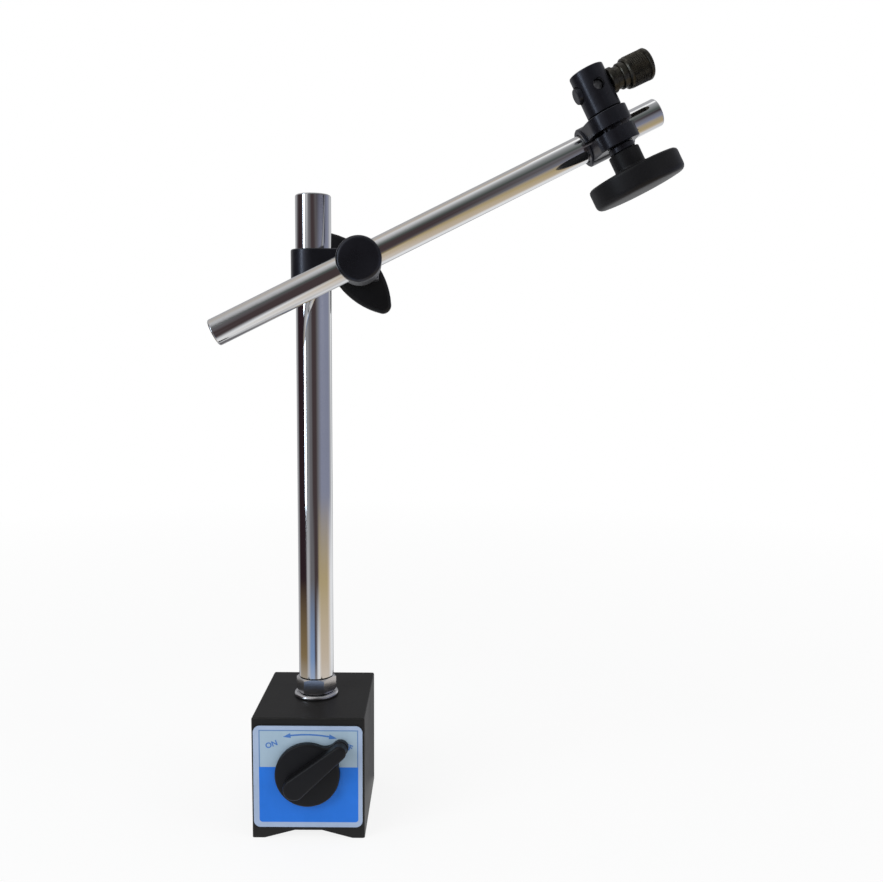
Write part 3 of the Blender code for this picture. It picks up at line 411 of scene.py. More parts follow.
def turned(name, stations, steps=96, hollow=False):
    """A turned piece from (radius, height) stations. A hollow one closes on its first station."""
    bpy.ops.object.select_all(action="DESELECT")
    radius, height = stations[0][:2]
    fill = "NOTHING" if hollow else "NGON"
    bpy.ops.mesh.primitive_circle_add(vertices=steps, radius=radius * MM, fill_type=fill)
    piece = bpy.context.object
    piece.name = name
    bpy.ops.object.mode_set(mode="EDIT")
    bpy.ops.mesh.select_mode(type="VERT")
    bpy.ops.mesh.select_all(action="SELECT")
    bpy.ops.transform.translate(value=(0, 0, height * MM))
    path = stations[1:] + (stations[:1] if hollow else [])
    for next_radius, next_height, *twist in path:
        rise = (0, 0, (next_height - height) * MM)
        bpy.ops.mesh.extrude_region_move(TRANSFORM_OT_translate={"value": rise})
        share = next_radius / radius
        bpy.ops.transform.resize(value=(share, share, 1), center_override=(0, 0, 0))
        if twist:
            bpy.ops.transform.rotate(
                value=radians(twist[0]), orient_axis="Z", center_override=(0, 0, 0)
            )
        radius, height = next_radius, next_height
    tidy_mesh()
    bpy.ops.object.mode_set(mode="OBJECT")
    return piece


def tidy_mesh():
    bpy.ops.mesh.select_all(action="SELECT")
    bpy.ops.mesh.remove_doubles(threshold=MERGE_DISTANCE)
    bpy.ops.mesh.normals_make_consistent(inside=False)


def place(piece, seat):
    only(piece)
    piece.matrix_world = seat
    bpy.ops.object.transform_apply(location=True, rotation=True, scale=True)
    return piece


print("turned() follows a lathe from station to station")

# %% [markdown]
# ## Tools for flat pieces
# Clamps, plates and knobs that are not round start as a flat outline. A disc with as many corners as the
# outline is added, each corner goes to its place, and the face is extruded to its thickness. Round corners
# are worked out as arcs between two straight sides.

# %% Slabs
ARC_STEP = 5
SHORTEST_SIDE = 0.001


def arc(x, y, radius, start, end):
    steps = max(3, ceil(abs(end - start) / radians(ARC_STEP)))
    angles = [start + (end - start) * k / steps for k in range(steps + 1)]
    return [(x + radius * cos(a), y + radius * sin(a)) for a in angles]


def rounded(corners):
    """An outline from (x, y, radius) corners, each rounded by an arc."""
    outline = []
    for i, (x, y, radius) in enumerate(corners):
        here = Vector((x, y))
        before = (Vector(corners[i - 1][:2]) - here).normalized()
        after = (Vector(corners[(i + 1) % len(corners)][:2]) - here).normalized()
        if radius == 0:
            outline.append((x, y))
            continue
        half = acos(max(-1.0, min(1.0, before.dot(after)))) / 2
        middle = here + (before + after).normalized() * (radius / sin(half))
        first = here + before * (radius / tan(half)) - middle
        last = here + after * (radius / tan(half)) - middle
        start = atan2(first.y, first.x)
        sweep = (atan2(last.y, last.x) - start + pi) % (2 * pi) - pi
        outline += arc(middle.x, middle.y, radius, start, start + sweep)
    sides = [(Vector(p) - Vector(outline[i - 1])).length for i, p in enumerate(outline)]
    return [p for p, side in zip(outline, sides) if side > SHORTEST_SIDE]


def slab(name, outline, low, high):
    """A flat outline with a thickness, from one height to another."""
    bpy.ops.object.select_all(action="DESELECT")
    bpy.ops.mesh.primitive_circle_add(vertices=len(outline), radius=MM, fill_type="NGON")
    piece = bpy.context.object
    piece.name = name
    for corner, (x, y) in zip(piece.data.vertices, outline):
        corner.co = (x * MM, y * MM, low * MM)
    bpy.ops.object.mode_set(mode="EDIT")
    bpy.ops.mesh.select_all(action="SELECT")
    rise = (0, 0, (high - low) * MM)
    bpy.ops.mesh.extrude_region_move(TRANSFORM_OT_translate={"value": rise})
    tidy_mesh()
    bpy.ops.object.mode_set(mode="OBJECT")
    return piece


print("slab() gives an outline its thickness")

# %% [markdown]
# ## Tools for edges, holes and joins
# No real edge is sharp, and the thin line of light along an edge is what makes metal look solid. Edges are
# bevelled where they are chosen by their place, or everywhere by a Bevel modifier that looks at their
# angle. Holes and joins are Boolean modifiers, applied at once so that the piece is plain mesh again.

# %% Edges, holes and joins
SAME_HEIGHT = 0.01


def bevel_where(piece, chosen, width, segments=4):
    """Bevels the edges that chosen() picks by the places of their two ends, in millimetres."""
    only(piece)
    mesh = piece.data
    bpy.ops.object.mode_set(mode="EDIT")
    bpy.ops.mesh.select_mode(type="EDGE")
    bpy.ops.mesh.select_all(action="DESELECT")
    bpy.ops.object.mode_set(mode="OBJECT")
    places = [v.co / MM for v in mesh.vertices]
    for edge in mesh.edges:
        edge.select = chosen(places[edge.vertices[0]], places[edge.vertices[1]])
    count = sum(edge.select for edge in mesh.edges)
    bpy.ops.object.mode_set(mode="EDIT")
    bpy.ops.mesh.bevel(offset=width * MM, segments=segments, profile=0.5, affect="EDGES")
    tidy_mesh()
    bpy.ops.object.mode_set(mode="OBJECT")
    return count


def at_height(height):
    return lambda a, b: abs(a.z - height) < SAME_HEIGHT and abs(b.z - height) < SAME_HEIGHT


def soften(piece, width, segments=3, angle=35):
    only(piece)
    bevel = piece.modifiers.new("edges", "BEVEL")
    bevel.width = width * MM
    bevel.segments = segments
    bevel.limit_method = "ANGLE"
    bevel.angle_limit = radians(angle)
    bpy.ops.object.modifier_apply(modifier=bevel.name)


def combine(piece, other, operation):
    only(piece)
    step = piece.modifiers.new("combine", "BOOLEAN")
    step.operation = operation
    step.object = other
    bpy.ops.object.modifier_apply(modifier=step.name)
    bpy.data.objects.remove(other, do_unlink=True)
    bpy.ops.object.mode_set(mode="EDIT")
    tidy_mesh()
    bpy.ops.object.mode_set(mode="OBJECT")


def cut(piece, *cutters):
    for cutter in cutters:
        combine(piece, cutter, "DIFFERENCE")


def block(name, low, high):
    """A box between two corners, for a cut."""
    bpy.ops.object.select_all(action="DESELECT")
    bpy.ops.mesh.primitive_cube_add(size=1.0)
    made = bpy.context.object
    made.name = name
    for corner in made.data.vertices:
        corner.co = [(low[i] + (corner.co[i] + 0.5) * (high[i] - low[i])) * MM for i in range(3)]
    return made


def drill(radius, low, high, steps=64):
    return turned("drill", [(radius, low), (radius, high)], steps)


print("edges, holes and joins are ready")

# %% [markdown]
# ## Handing a piece over
# A finished piece gets its material, rides on the body that it moves with, and stands for one or more
# solids. Smooth shading by angle lets the round faces run smoothly. Beside a narrow rounded edge it also
# bends the light on a wide flat, so the normals are weighted by area, which keeps the flats flat.

# %% Dressing a piece
SMOOTH_ANGLE = 32


def dress(piece, finish, body, slot, *nodes):
    only(piece)
    bpy.ops.object.shade_smooth_by_angle(angle=radians(SMOOTH_ANGLE))
    flatter = piece.modifiers.new("flatter", "WEIGHTED_NORMAL")
    flatter.keep_sharp = True
    bpy.ops.object.modifier_apply(modifier=flatter.name)
    piece.data.materials.clear()
    piece.data.materials.append(finish.material)
    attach(piece, body)
    if nodes:
        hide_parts(*nodes)
    print(piece.name, "rides on", body, "with", len(piece.data.polygons), "faces")


# %% [markdown]
# ## The base
# The real base is two steel blocks with brass bars between them, painted over so that no seam shows. It
# stands on two feet, and the shallow V between them lets it sit on a bar. The outline seen from the front,
# feet and V included, is extruded through the depth, the outer edges are rounded, and the magnet's bore is
# drilled.

# %% Base body
GROOVE_HALF, GROOVE_FLAT, GROOVE_DEPTH = 19.5, 6, 3.617
NEAR_EDGE = 0.1
base_outline = [
    (-BASE_HALF_WIDE, 0), (-GROOVE_HALF, 0), (-GROOVE_FLAT, GROOVE_DEPTH), (GROOVE_FLAT, GROOVE_DEPTH),
    (GROOVE_HALF, 0), (BASE_HALF_WIDE, 0), (BASE_HALF_WIDE, BASE_HIGH), (-BASE_HALF_WIDE, BASE_HIGH),
]


def outer_edge(a, b):
    """Picks the edges at the top of the outline and those along its upright sides."""
    on_side = min(abs(a.x), abs(b.x)) > BASE_HALF_WIDE - NEAR_EDGE
    return max(a.y, b.y) > BASE_HIGH - NEAR_EDGE or (on_side and a.y != b.y)


base_body = slab("base_body", base_outline, -BASE_HALF_DEEP, BASE_HALF_DEEP)
rounded_edges = bevel_where(base_body, outer_edge, 0.9)
place(base_body, FACING_FRONT)
cut(base_body, place(drill(15, -32, 32, 96), SWITCH_SEAT @ FACING_FRONT))
cut(base_body, place(drill(5.3, 35, 57), BASE_SEAT))
print("rounded", rounded_edges, "edges of the base")
dress(
    base_body, black_paint, "base", "black_paint",
    "pole_block_left", "pole_block_right", "spacer_lower", "spacer_upper",
)

# %% [markdown]
# ## The label
# The plate is half a millimetre of aluminium with round corners, stuck on the switch side. Its words for
# the two ends of the switch and the arrow between them are printed. They are thin raised shapes here,
# because a printed letter keeps its crisp edge from any distance when it is a shape.

# %% Label plate
label_outline = rounded([(-24.1, 5.3, 3), (24.1, 5.3, 3), (24.1, 51.7, 3), (-24.1, 51.7, 3)])
LABEL_FRONT = 30.8
label_plate = slab("label_plate_print", label_outline, 30.3, LABEL_FRONT)
bevel_where(label_plate, at_height(LABEL_FRONT), 0.12, 2)
place(label_plate, FACING_FRONT)
cut(label_plate, place(drill(5, 28, 33), SWITCH_SEAT @ FACING_FRONT))
dress(label_plate, label_print, "base", "label_print", "label_plate")

# %% Switch words and arrow
PRINT_FRONT = 30.83
PRINT_HALF_DEPTH = 0.015
STROKE_SWELL = 0.1


def printed_word(name, word, x, z, tilt, size):
    bpy.ops.object.select_all(action="DESELECT")
    bpy.ops.object.text_add()
    made = bpy.context.object
    made.name = name
    made.data.body = word
    made.data.size = size * MM
    made.data.align_x = "CENTER"
    made.data.align_y = "CENTER"
    made.data.offset = STROKE_SWELL * MM
    made.data.extrude = PRINT_HALF_DEPTH * MM
    bpy.ops.object.convert(target="MESH")
    place(bpy.context.object, shift(x, -PRINT_FRONT, z) @ FACING_FRONT @ turn(tilt, "Z"))
    dress(bpy.context.object, print_blue, "base", "label_print")


printed_word("label_on", "ON", -15.9, 43.3, 20, 3.4)
printed_word("label_off", "OFF", 16.6, 42.6, -20, 3.6)

ARROW_RADIUS = 56.0
ARROW_MIDDLE = 47.9 - ARROW_RADIUS
ARROW_SWEEP = 0.152
LINE_HALF, HEAD_HALF, HEAD_SWEEP = 0.36, 1.15, 0.062
arrow_ends = (pi / 2 - ARROW_SWEEP, pi / 2 + ARROW_SWEEP)
upper_side = arc(0, ARROW_MIDDLE, ARROW_RADIUS + LINE_HALF, *arrow_ends)
lower_side = arc(0, ARROW_MIDDLE, ARROW_RADIUS - LINE_HALF, *arrow_ends[::-1])


def arrow_head(side):
    angle = pi / 2 - side * ARROW_SWEEP
    tip = pi / 2 - side * (ARROW_SWEEP + HEAD_SWEEP)
    corners = ((HEAD_HALF, angle), (-0.1, tip), (-HEAD_HALF, angle))
    return [
        ((ARROW_RADIUS + out) * cos(a), ARROW_MIDDLE + (ARROW_RADIUS + out) * sin(a)) for out, a in corners
    ]


arrow_outline = upper_side + arrow_head(-1) + lower_side + arrow_head(1)[::-1]
label_arrow = slab("label_arrow", arrow_outline, 30.81, 30.84)
place(label_arrow, shift(-0.3, 0, 0) @ FACING_FRONT @ turn(-1.6, "Z"))
dress(label_arrow, print_blue, "base", "label_print")

# %% [markdown]
# ## The switch knob
# The switch is a moulded disc with a pointer, and a raised lever runs across it for the fingers. Hollow
# fillets join the pointer to the disc, as a mould needs. The disc and the lever are two slabs with rounded
# front edges, joined into one body.

# %% Switch knob
def pointer_outline():
    disc, tip, reach, fillet = 14.3, 3.5, 19.0, 6.0
    x = ((disc + fillet) ** 2 - (tip + fillet) ** 2 + reach**2) / (2 * reach)
    y = sqrt((disc + fillet) ** 2 - x**2)
    on_disc = atan2(y, x)
    on_tip = atan2(y, x - reach)
    outline = arc(reach, 0, tip, -on_tip, on_tip)
    outline += arc(x, y, fillet, on_tip - pi, on_disc - pi)[1:]
    outline += arc(0, 0, disc, on_disc, 2 * pi - on_disc)[1:]
    return outline + arc(x, -y, fillet, pi - on_disc, pi - on_tip)[1:-1]


def lever_outline():
    heel, heel_radius, reach, tip = 6.7, 4.9, 19.0, 3.1
    lean = acos((heel_radius - tip) / (heel + reach))
    return arc(reach, 0, tip, -lean, lean) + arc(-heel, 0, heel_radius, lean, 2 * pi - lean)


DISC_FRONT, LEVER_FRONT, POINTER_TURN = 34.1, 39.1, 40
switch_knob = slab("switch_knob_lever", pointer_outline(), 31.1, DISC_FRONT)
bevel_where(switch_knob, at_height(DISC_FRONT), 1.0, 5)
lever = slab("lever", lever_outline(), 32.6, LEVER_FRONT)
bevel_where(lever, at_height(LEVER_FRONT), 1.2, 5)
combine(switch_knob, lever, "UNION")
place(switch_knob, SWITCH_SEAT @ FACING_FRONT @ turn(POINTER_TURN, "Z"))
cut(switch_knob, place(drill(4.3, 29, 35.9), SWITCH_SEAT @ FACING_FRONT))
dress(switch_knob, black_plastic, "rotor", "black_plastic", "switch_knob")

# %% [markdown]
# ## The rear cover
# A thin plate closes the bore at the back, held by four screws with slotted heads. One screw is modelled
# with its domed head and its slot, and the other three are copies, each with its own mesh.

# %% Rear cover and screws
cover_outline = rounded([(-21, -20.5, 4), (21, -20.5, 4), (21, 20.5, 4), (-21, 20.5, 4)])
COVER_BACK, SCREW_TURN = -31.9, 35
rear_cover = slab("rear_cover_plate", cover_outline, COVER_BACK, -30.3)
bevel_where(rear_cover, at_height(COVER_BACK), 0.4, 3)
place(rear_cover, SWITCH_SEAT @ FACING_FRONT)
cut(rear_cover, place(drill(3.3, 28, 34), SWITCH_SEAT @ FACING_BACK))
SCREW_PLACES = [(-16.5, 46.3), (16.5, 46.3), (-16.5, 14.3), (16.5, 14.3)]
for x, z in SCREW_PLACES:
    cut(rear_cover, place(drill(2.3, 28, 34, 32), shift(x, 0, z) @ FACING_BACK))
dress(rear_cover, black_paint, "base", "black_paint", "rear_cover")

screw = turned(
    "screw", [(2, 23.2), (2, 32.2), (3.5, 32.2), (3.5, 33.0), (3.1, 33.45), (2.1, 33.8)], 48
)
cut(screw, block("slot", (-4, -0.45, 33.0), (4, 0.45, 35)))
for number, (x, z) in enumerate(SCREW_PLACES, 1):
    copy = screw.copy()
    copy.data = screw.data.copy()
    copy.name = f"slotted_screw_{number}"
    bpy.context.scene.collection.objects.link(copy)
    place(copy, shift(x, 0, z) @ FACING_BACK @ turn(SCREW_TURN * number, "Z"))
    dress(copy, plain_steel, "base", "steel", f"cover_screw_{number}")
bpy.data.objects.remove(screw, do_unlink=True)

# %% [markdown]
# ## Column, lock nut and washer
# The column is a ground bar with a stud below, and a hexagon nut locks it on a washer. A real nut is a
# hexagon that a lathe has chamfered, so its corners end in curves. That is the common part of a hexagon and
# a turned barrel, which an intersecting Boolean gives directly.

# %% Column
column = turned(
    "column_bar",
    [(5, 45.9), (5, 64.5), (7.7, 64.5), (8, 64.8), (8, 284.1), (7.75, 284.6), (7.2, 284.9)],
    128,
)
place(column, COLUMN_SEAT)
dress(column, chrome, "column", "chrome", "column")

# %% Lock nut and washer
HALF_FLATS, NUT_FOOT, NUT_TOP, NUT_TURN = 8, 57.2, 64.2, 25
corner_radius = HALF_FLATS / cos(pi / 6)
lock_nut = turned("lock_nut_hex", [(corner_radius, NUT_FOOT), (corner_radius, NUT_TOP)], 6)
barrel = turned("barrel", [(8.1, NUT_FOOT), (9.4, 57.95), (9.4, 63.45), (8.1, NUT_TOP)])
place(lock_nut, turn(NUT_TURN, "Z"))
combine(lock_nut, barrel, "INTERSECT")
soften(lock_nut, 0.12, 2, 25)
cut(lock_nut, drill(5.3, 56, 66))
place(lock_nut, COLUMN_SEAT)
dress(lock_nut, bright_steel, "column", "bright_steel", "lock_nut")

base_washer = turned(
    "base_washer_ring",
    [
        (5.3, 56.9), (9.2, 56.9), (9.65, 56.8), (10.0, 56.55), (10.2, 56.2), (10.25, 55.9), (10.2, 55.5),
        (9.9, 55.3), (5.3, 55.3),
    ],
    hollow=True,
)
place(base_washer, BASE_SEAT)
dress(base_washer, bright_steel, "base", "bright_steel", "base_washer")

# %% [markdown]
# ## The column clamp
# This is a split block: round where it holds the column, straight at its lugs, with a saw cut between them
# so that the bolt can pinch it. The outline seen from above is extruded, the top and bottom rims are
# rounded, and the bore, the saw cut and the bolt hole are cut.

# %% Column clamp
CLAMP_HALF = 6.6
clamp_outline = rounded([(-10.1, -10.1, 10.1), (29.2, -10.1, 3), (29.2, 10.1, 3), (-10.1, 10.1, 10.1)])
column_clamp = slab("column_clamp_split", clamp_outline, -CLAMP_HALF, CLAMP_HALF)
bevel_where(column_clamp, at_height(CLAMP_HALF), 0.7)
bevel_where(column_clamp, at_height(-CLAMP_HALF), 0.7)
cut(column_clamp, drill(8.3, -9, 9, 96), block("saw_cut", (0, -1, -9), (32, 1, 9)))
cut(column_clamp, place(drill(4.3, -13, 13), shift(PIVOT_REACH, 0, 0) @ FACING_BACK))
place(column_clamp, CLAMP_SEAT)
dress(column_clamp, black_oxide, "column_clamp", "black_oxide", "column_clamp")

# %% [markdown]
# ## The cap and the eye bolt
# The arm passes through a cup-shaped cap and through the eye of a bolt inside it. Tightening the wing pulls
# the eye back, which grips the arm and the column clamp at once. Both are turned, and the arm's hole is
# drilled across them.

# %% Cap and eye bolt
ARM_BORE = 6.3
CAP_ROUND = 1.8
round_angles = (0, 0.26, 0.52, 0.79, 1.05, 1.31, pi / 2)
cap_round = [(7.9 + CAP_ROUND * cos(a), 34.4 + CAP_ROUND * sin(a)) for a in round_angles]
clamp_cap = turned(
    "clamp_cap_cup",
    [(7.9, 33.7), (7.9, 10.4), (9.35, 10.4), (9.7, 10.75), *cap_round, (6, 36.2), (3, 36.2)],
    128,
)
place(clamp_cap, PIVOT_SEAT @ FACING_FRONT)
cut(clamp_cap, place(drill(ARM_BORE, -20, 20, 96), ARM_SEAT @ FACING_RIGHT))
dress(clamp_cap, black_oxide, "arm_head", "black_oxide", "clamp_cap")

eye_bolt = turned(
    "eye_bolt_turned", [(7.6, 33.4), (7.6, 11.4), (4, 11.4), (4, -37.2), (3.3, -37.9)], 64
)
place(eye_bolt, PIVOT_SEAT @ FACING_FRONT)
cut(eye_bolt, place(drill(ARM_BORE, -20, 20, 96), ARM_SEAT @ FACING_RIGHT))
dress(eye_bolt, plain_steel, "arm_head", "steel", "eye_bolt")

# %% [markdown]
# ## The wing
# A leaf-shaped wing on a long hub tightens the eye bolt from behind. The leaf is two long arcs that run
# into round tips: the radius of the long arcs follows from the span, the width and the tips. Its rim is
# rounded over generously, and the brass insert that takes the thread is a separate ring in the hub.

# %% Wing, insert and washer
reach, half_wide, tip, offset = 19.6, 10.5, 4.0, -2.2
side = (reach**2 + half_wide**2 - tip**2) / (2 * (half_wide - tip))
bow = side - half_wide
lean = atan2(bow, reach)
leaf = arc(0, offset - bow, side, lean, pi - lean)
leaf += arc(-reach, offset, tip, pi - lean, pi + lean)[1:]
leaf += arc(0, offset + bow, side, pi + lean, 2 * pi - lean)[1:]
leaf += arc(reach, offset, tip, -lean, lean)[1:-1]
WING_BACK, WING_FRONT, WING_TURN = -38.2, -28.2, -50
wing = slab("wing_leaf", leaf, WING_BACK, WING_FRONT)
bevel_where(wing, at_height(WING_BACK), 2.0, 6)
bevel_where(wing, at_height(WING_FRONT), 2.0, 6)
place(wing, PIVOT_SEAT @ turn(ARM_TILT, "Y") @ FACING_FRONT @ turn(WING_TURN, "Z"))
hub = turned("hub", [(7.4, 12.2), (8.0, 12.8), (8.0, 37), (7, 37)])
combine(wing, place(hub, PIVOT_SEAT @ FACING_BACK), "UNION")
cut(wing, place(drill(6.4, 11, 40), PIVOT_SEAT @ FACING_BACK))
dress(wing, black_plastic, "wing", "black_plastic", "wing_knob")

wing_insert = turned(
    "wing_insert_ring", [(4.3, 38.2), (5.8, 38.2), (6.1, 37.9), (6.1, 12.2), (4.3, 12.2)], 64, True
)
place(wing_insert, PIVOT_SEAT @ FACING_BACK)
dress(wing_insert, brass, "wing", "brass", "wing_insert")

wing_washer = turned(
    "wing_washer_ring",
    [(4.3, 11.9), (7.75, 11.9), (8, 11.65), (8, 10.65), (7.75, 10.4), (4.3, 10.4)],
    hollow=True,
)
place(wing_washer, PIVOT_SEAT @ FACING_BACK)
dress(wing_washer, bright_steel, "arm_head", "bright_steel", "wing_washer")

# %% [markdown]
# ## The arm
# The arm is a plain chromed bar. Its ends are faced on a lathe and have a small chamfer, and that bright
# ring at each end is what shows its thickness in the picture.

# %% Arm
arm = turned(
    "arm_bar", [(5.4, -69), (5.75, -68.75), (6, -68.3), (6, 142.5), (5.75, 142.95), (5.4, 143.2)], 128
)
place(arm, ARM_SEAT @ FACING_RIGHT)
dress(arm, chrome, "arm", "chrome", "arm_rod")

# %% [markdown]
# ## The arm clamp
# A ring slides on the arm, and two ears reach out from it to take the shank of the gauge post. A saw cut
# between the ears lets the hand knob pinch the ring. The ring is turned, the ears are a slab that narrows
# to a round end, and the two are joined before the saw cut.

# %% Arm clamp
ring_clamp = turned(
    "arm_clamp_ring", [(7.9, -10.3), (8.4, -9.8), (8.4, 9.8), (7.9, 10.3)], 96
)
place(ring_clamp, FACING_RIGHT)
ear_outline = rounded([(-10, 0, 0), (-8.2, -23.2, 8.2), (8.2, -23.2, 8.2), (10, 0, 0)])
EAR_HALF = 7.2
ears = slab("ears", ear_outline, -EAR_HALF, EAR_HALF)
bevel_where(ears, at_height(EAR_HALF), 0.5, 3)
bevel_where(ears, at_height(-EAR_HALF), 0.5, 3)
combine(ring_clamp, ears, "UNION")
cut(ring_clamp, place(drill(ARM_BORE, -13, 13, 96), FACING_RIGHT))
cut(ring_clamp, block("saw_cut", (-13, -26, -0.9), (13, 0, 0.9)))
cut(ring_clamp, place(drill(4.3, -11, 11), shift(0, -POST_OFFSET, 0)))
place(ring_clamp, ARM_CLAMP_SEAT)
dress(ring_clamp, black_oxide, "arm_clamp", "black_oxide", "arm_clamp")

# %% [markdown]
# ## The gauge post
# The post stands on the ears and holds the gauge: a stem goes through its cross hole, and the draw bolt
# pulls against the stem when the knurled nut turns. One side has a flat for the nut. It is turned with its
# shank, and the flat and the holes are cut after.

# %% Gauge post and draw bolt
gauge_post = turned(
    "gauge_post_turned",
    [
        (6.7, 26.1), (7.2, 25.85), (7.4, 25.4), (7.4, 7.9), (7.0, 7.5), (4, 7.5), (4, -22.0),
        (3.4, -22.7),
    ],
)
cut(gauge_post, block("flat", (6.4, -8, 0), (16, 8, 34)))
POST_HOLES = {
    "collar": (4.8, -5, 16, 64, FACING_RIGHT),
    "button": (3.8, -16, 0, 48, FACING_RIGHT),
    "stem": (2.4, -16, 16, 48, FACING_BACK),
}
for *drilled, facing in POST_HOLES.values():
    cut(gauge_post, place(drill(*drilled), shift(0, 0, DRAW_HEIGHT) @ facing))
place(gauge_post, POST_SEAT)
dress(gauge_post, black_oxide, "gauge_post", "black_oxide", "gauge_post")

draw_bolt = turned(
    "draw_bolt_turned",
    [
        (2.6, 21.1), (3, 20.7), (3, 5.5), (4.5, 5.5), (4.5, -3.7), (3.5, -3.7), (3.5, -7.8),
        (3.2, -8.4), (2.5, -8.7),
    ],
    64,
)
cut(draw_bolt, place(drill(2.1, -16, 16, 48), FACING_FRONT))
place(draw_bolt, DRAW_SEAT @ FACING_RIGHT)
dress(draw_bolt, black_oxide, "draw_bolt", "black_oxide", "draw_bolt")

# %% [markdown]
# ## The knurled nut
# A knurl is pressed by two toothed wheels, and leaves rows of small pyramids at a slant. The grip is turned
# in short rows, each twisted a little more than the last, so its faces lie at a slant. Poking those faces
# raises a pyramid on each, and the plain rim at the end stays smooth.

# %% Knurled nut
ROWS = 9
ROW_TWIST = -6.2
GRIP_RADIUS, GRIP_FOOT, GRIP_TOP = 6.4, 15.7, 23.3
PYRAMID_HEIGHT = 0.25
row_height = (GRIP_TOP - GRIP_FOOT) / ROWS
knurl_rows = [(GRIP_RADIUS, GRIP_FOOT + row_height * k, ROW_TWIST) for k in range(1, ROWS + 1)]
knurled_nut = turned(
    "knurled_nut_grip",
    [
        (3.3, 22.1), (3.3, 6.7), (5.1, 6.7), (5.4, 7.0), (5.4, 8.95), (5.1, 9.27), (4.7, 9.27),
        (4.7, 11.83), (5.1, 11.83), (5.4, 12.15), (5.4, 14.4), (5.9, 14.4), (GRIP_RADIUS, 14.9),
        (GRIP_RADIUS, GRIP_FOOT), *knurl_rows, (6.25, 23.6), (6.65, 23.9), (6.65, 24.9), (6.2, 25.5),
        (5.4, 25.6), (1.5, 25.2),
    ],
    60,
)
only(knurled_nut)
bpy.ops.object.mode_set(mode="EDIT")
bpy.ops.mesh.select_mode(type="FACE")
bpy.ops.mesh.select_all(action="DESELECT")
bpy.ops.object.mode_set(mode="OBJECT")
for face in knurled_nut.data.polygons:
    out = (face.center.x**2 + face.center.y**2) ** 0.5 / MM
    face.select = out > GRIP_RADIUS - 0.1 and GRIP_FOOT < face.center.z / MM < GRIP_TOP
bpy.ops.object.mode_set(mode="EDIT")
bpy.ops.mesh.poke(offset=PYRAMID_HEIGHT * MM)
bpy.ops.object.mode_set(mode="OBJECT")
place(knurled_nut, DRAW_SEAT @ FACING_RIGHT)
dress(knurled_nut, knurl_oxide, "knurled_nut", "black_oxide", "knurled_nut")

# %% [markdown]
# ## The hand knob
# The large knob under the ears tightens the arm clamp. It is a thick moulded disc with a rounded rim, a low
# dome below and a hub above. It is turned like the metal pieces, with more stations on the rim so that the
# light runs round it softly.

# %% Hand knob and its washer
hand_knob = turned(
    "hand_knob_disc",
    [
        (5.6, -23.0), (5.6, -10.2), (6.3, -10.2), (6.6, -10.5), (6.6, -16.6), (6.9, -17.3), (17.6, -18.3),
        (18.6, -18.45), (19.35, -19.0), (19.65, -19.9), (19.65, -25.4), (19.5, -26.3), (19.1, -27.1),
        (18.4, -27.7), (17.4, -28.05), (15, -28.35), (12, -28.6), (8, -28.8), (4, -28.95), (1, -29.0),
    ],
    128,
)
place(hand_knob, POST_SEAT)
dress(hand_knob, black_plastic, "hand_knob", "black_plastic", "hand_knob")

knob_washer = turned(
    "knob_washer_ring",
    [(4.3, -7.5), (5.25, -7.5), (5.5, -7.75), (5.5, -9.65), (5.25, -9.9), (4.3, -9.9)],
    hollow=True,
)
place(knob_washer, POST_SEAT)
dress(knob_washer, black_oxide, "gauge_post", "black_oxide", "knob_washer")

# %% [markdown]
# ## The pieces inside
# The turning magnet, its bush and the pins are hidden in the base, and the insert in the hand knob. Their
# solids are kept as they are, each with the finish of its metal.

# %% Finishes for the kept solids
KEPT = {
    plain_steel: (
        "rotor_cheek_upper", "rotor_cheek_lower", "rotor_front_cap", "rotor_rear_cap",
        "dowel_pin_lower_front", "dowel_pin_lower_rear", "dowel_pin_upper_front", "dowel_pin_upper_rear",
    ),
    magnet_grey: ("rotor_magnet",),
    brass: ("front_bush", "hand_knob_insert"),
}
for finish, names in KEPT.items():
    for name in names:
        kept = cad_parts[name]
        kept.data.materials.clear()
        kept.data.materials.append(finish.material)
print("kept solids:", sum(len(names) for names in KEPT.values()))

# %% [markdown]
# ## Floor and sky
# The stand is on a white floor in front of white. The floor shows the soft shadow of the stand, and for the
# camera and for mirrors it is lifted towards white, as paper under studio light is. The lift grows
# outwards, so that the floor runs into the white behind it. The sky gives an even light from all sides.

# %% Floor
bpy.ops.object.select_all(action="DESELECT")
bpy.ops.mesh.primitive_plane_add(size=8.0, location=(0, 0, -0.0002))
floor = bpy.context.object
floor.name = "floor"
floor_finish = Finish("floor_white", roughness=0.8, Specular_IOR_Level=0.1)
paper = floor_finish.noise(12, 3.0)
floor_finish.feed("Base Color", paper.tint((0.93, 0.93, 0.93), (0.96, 0.96, 0.96)))


def seen_rays(start):
    """1 for rays from the camera, a mirror or glass."""
    path = start.tree.nodes.new("ShaderNodeLightPath")
    kinds = ("Is Camera Ray", "Is Glossy Ray", "Is Transmission Ray")
    rays = [Socket(start.tree, path.outputs[kind]) for kind in kinds]
    return (rays[0] + rays[1] + rays[2]).clamped()


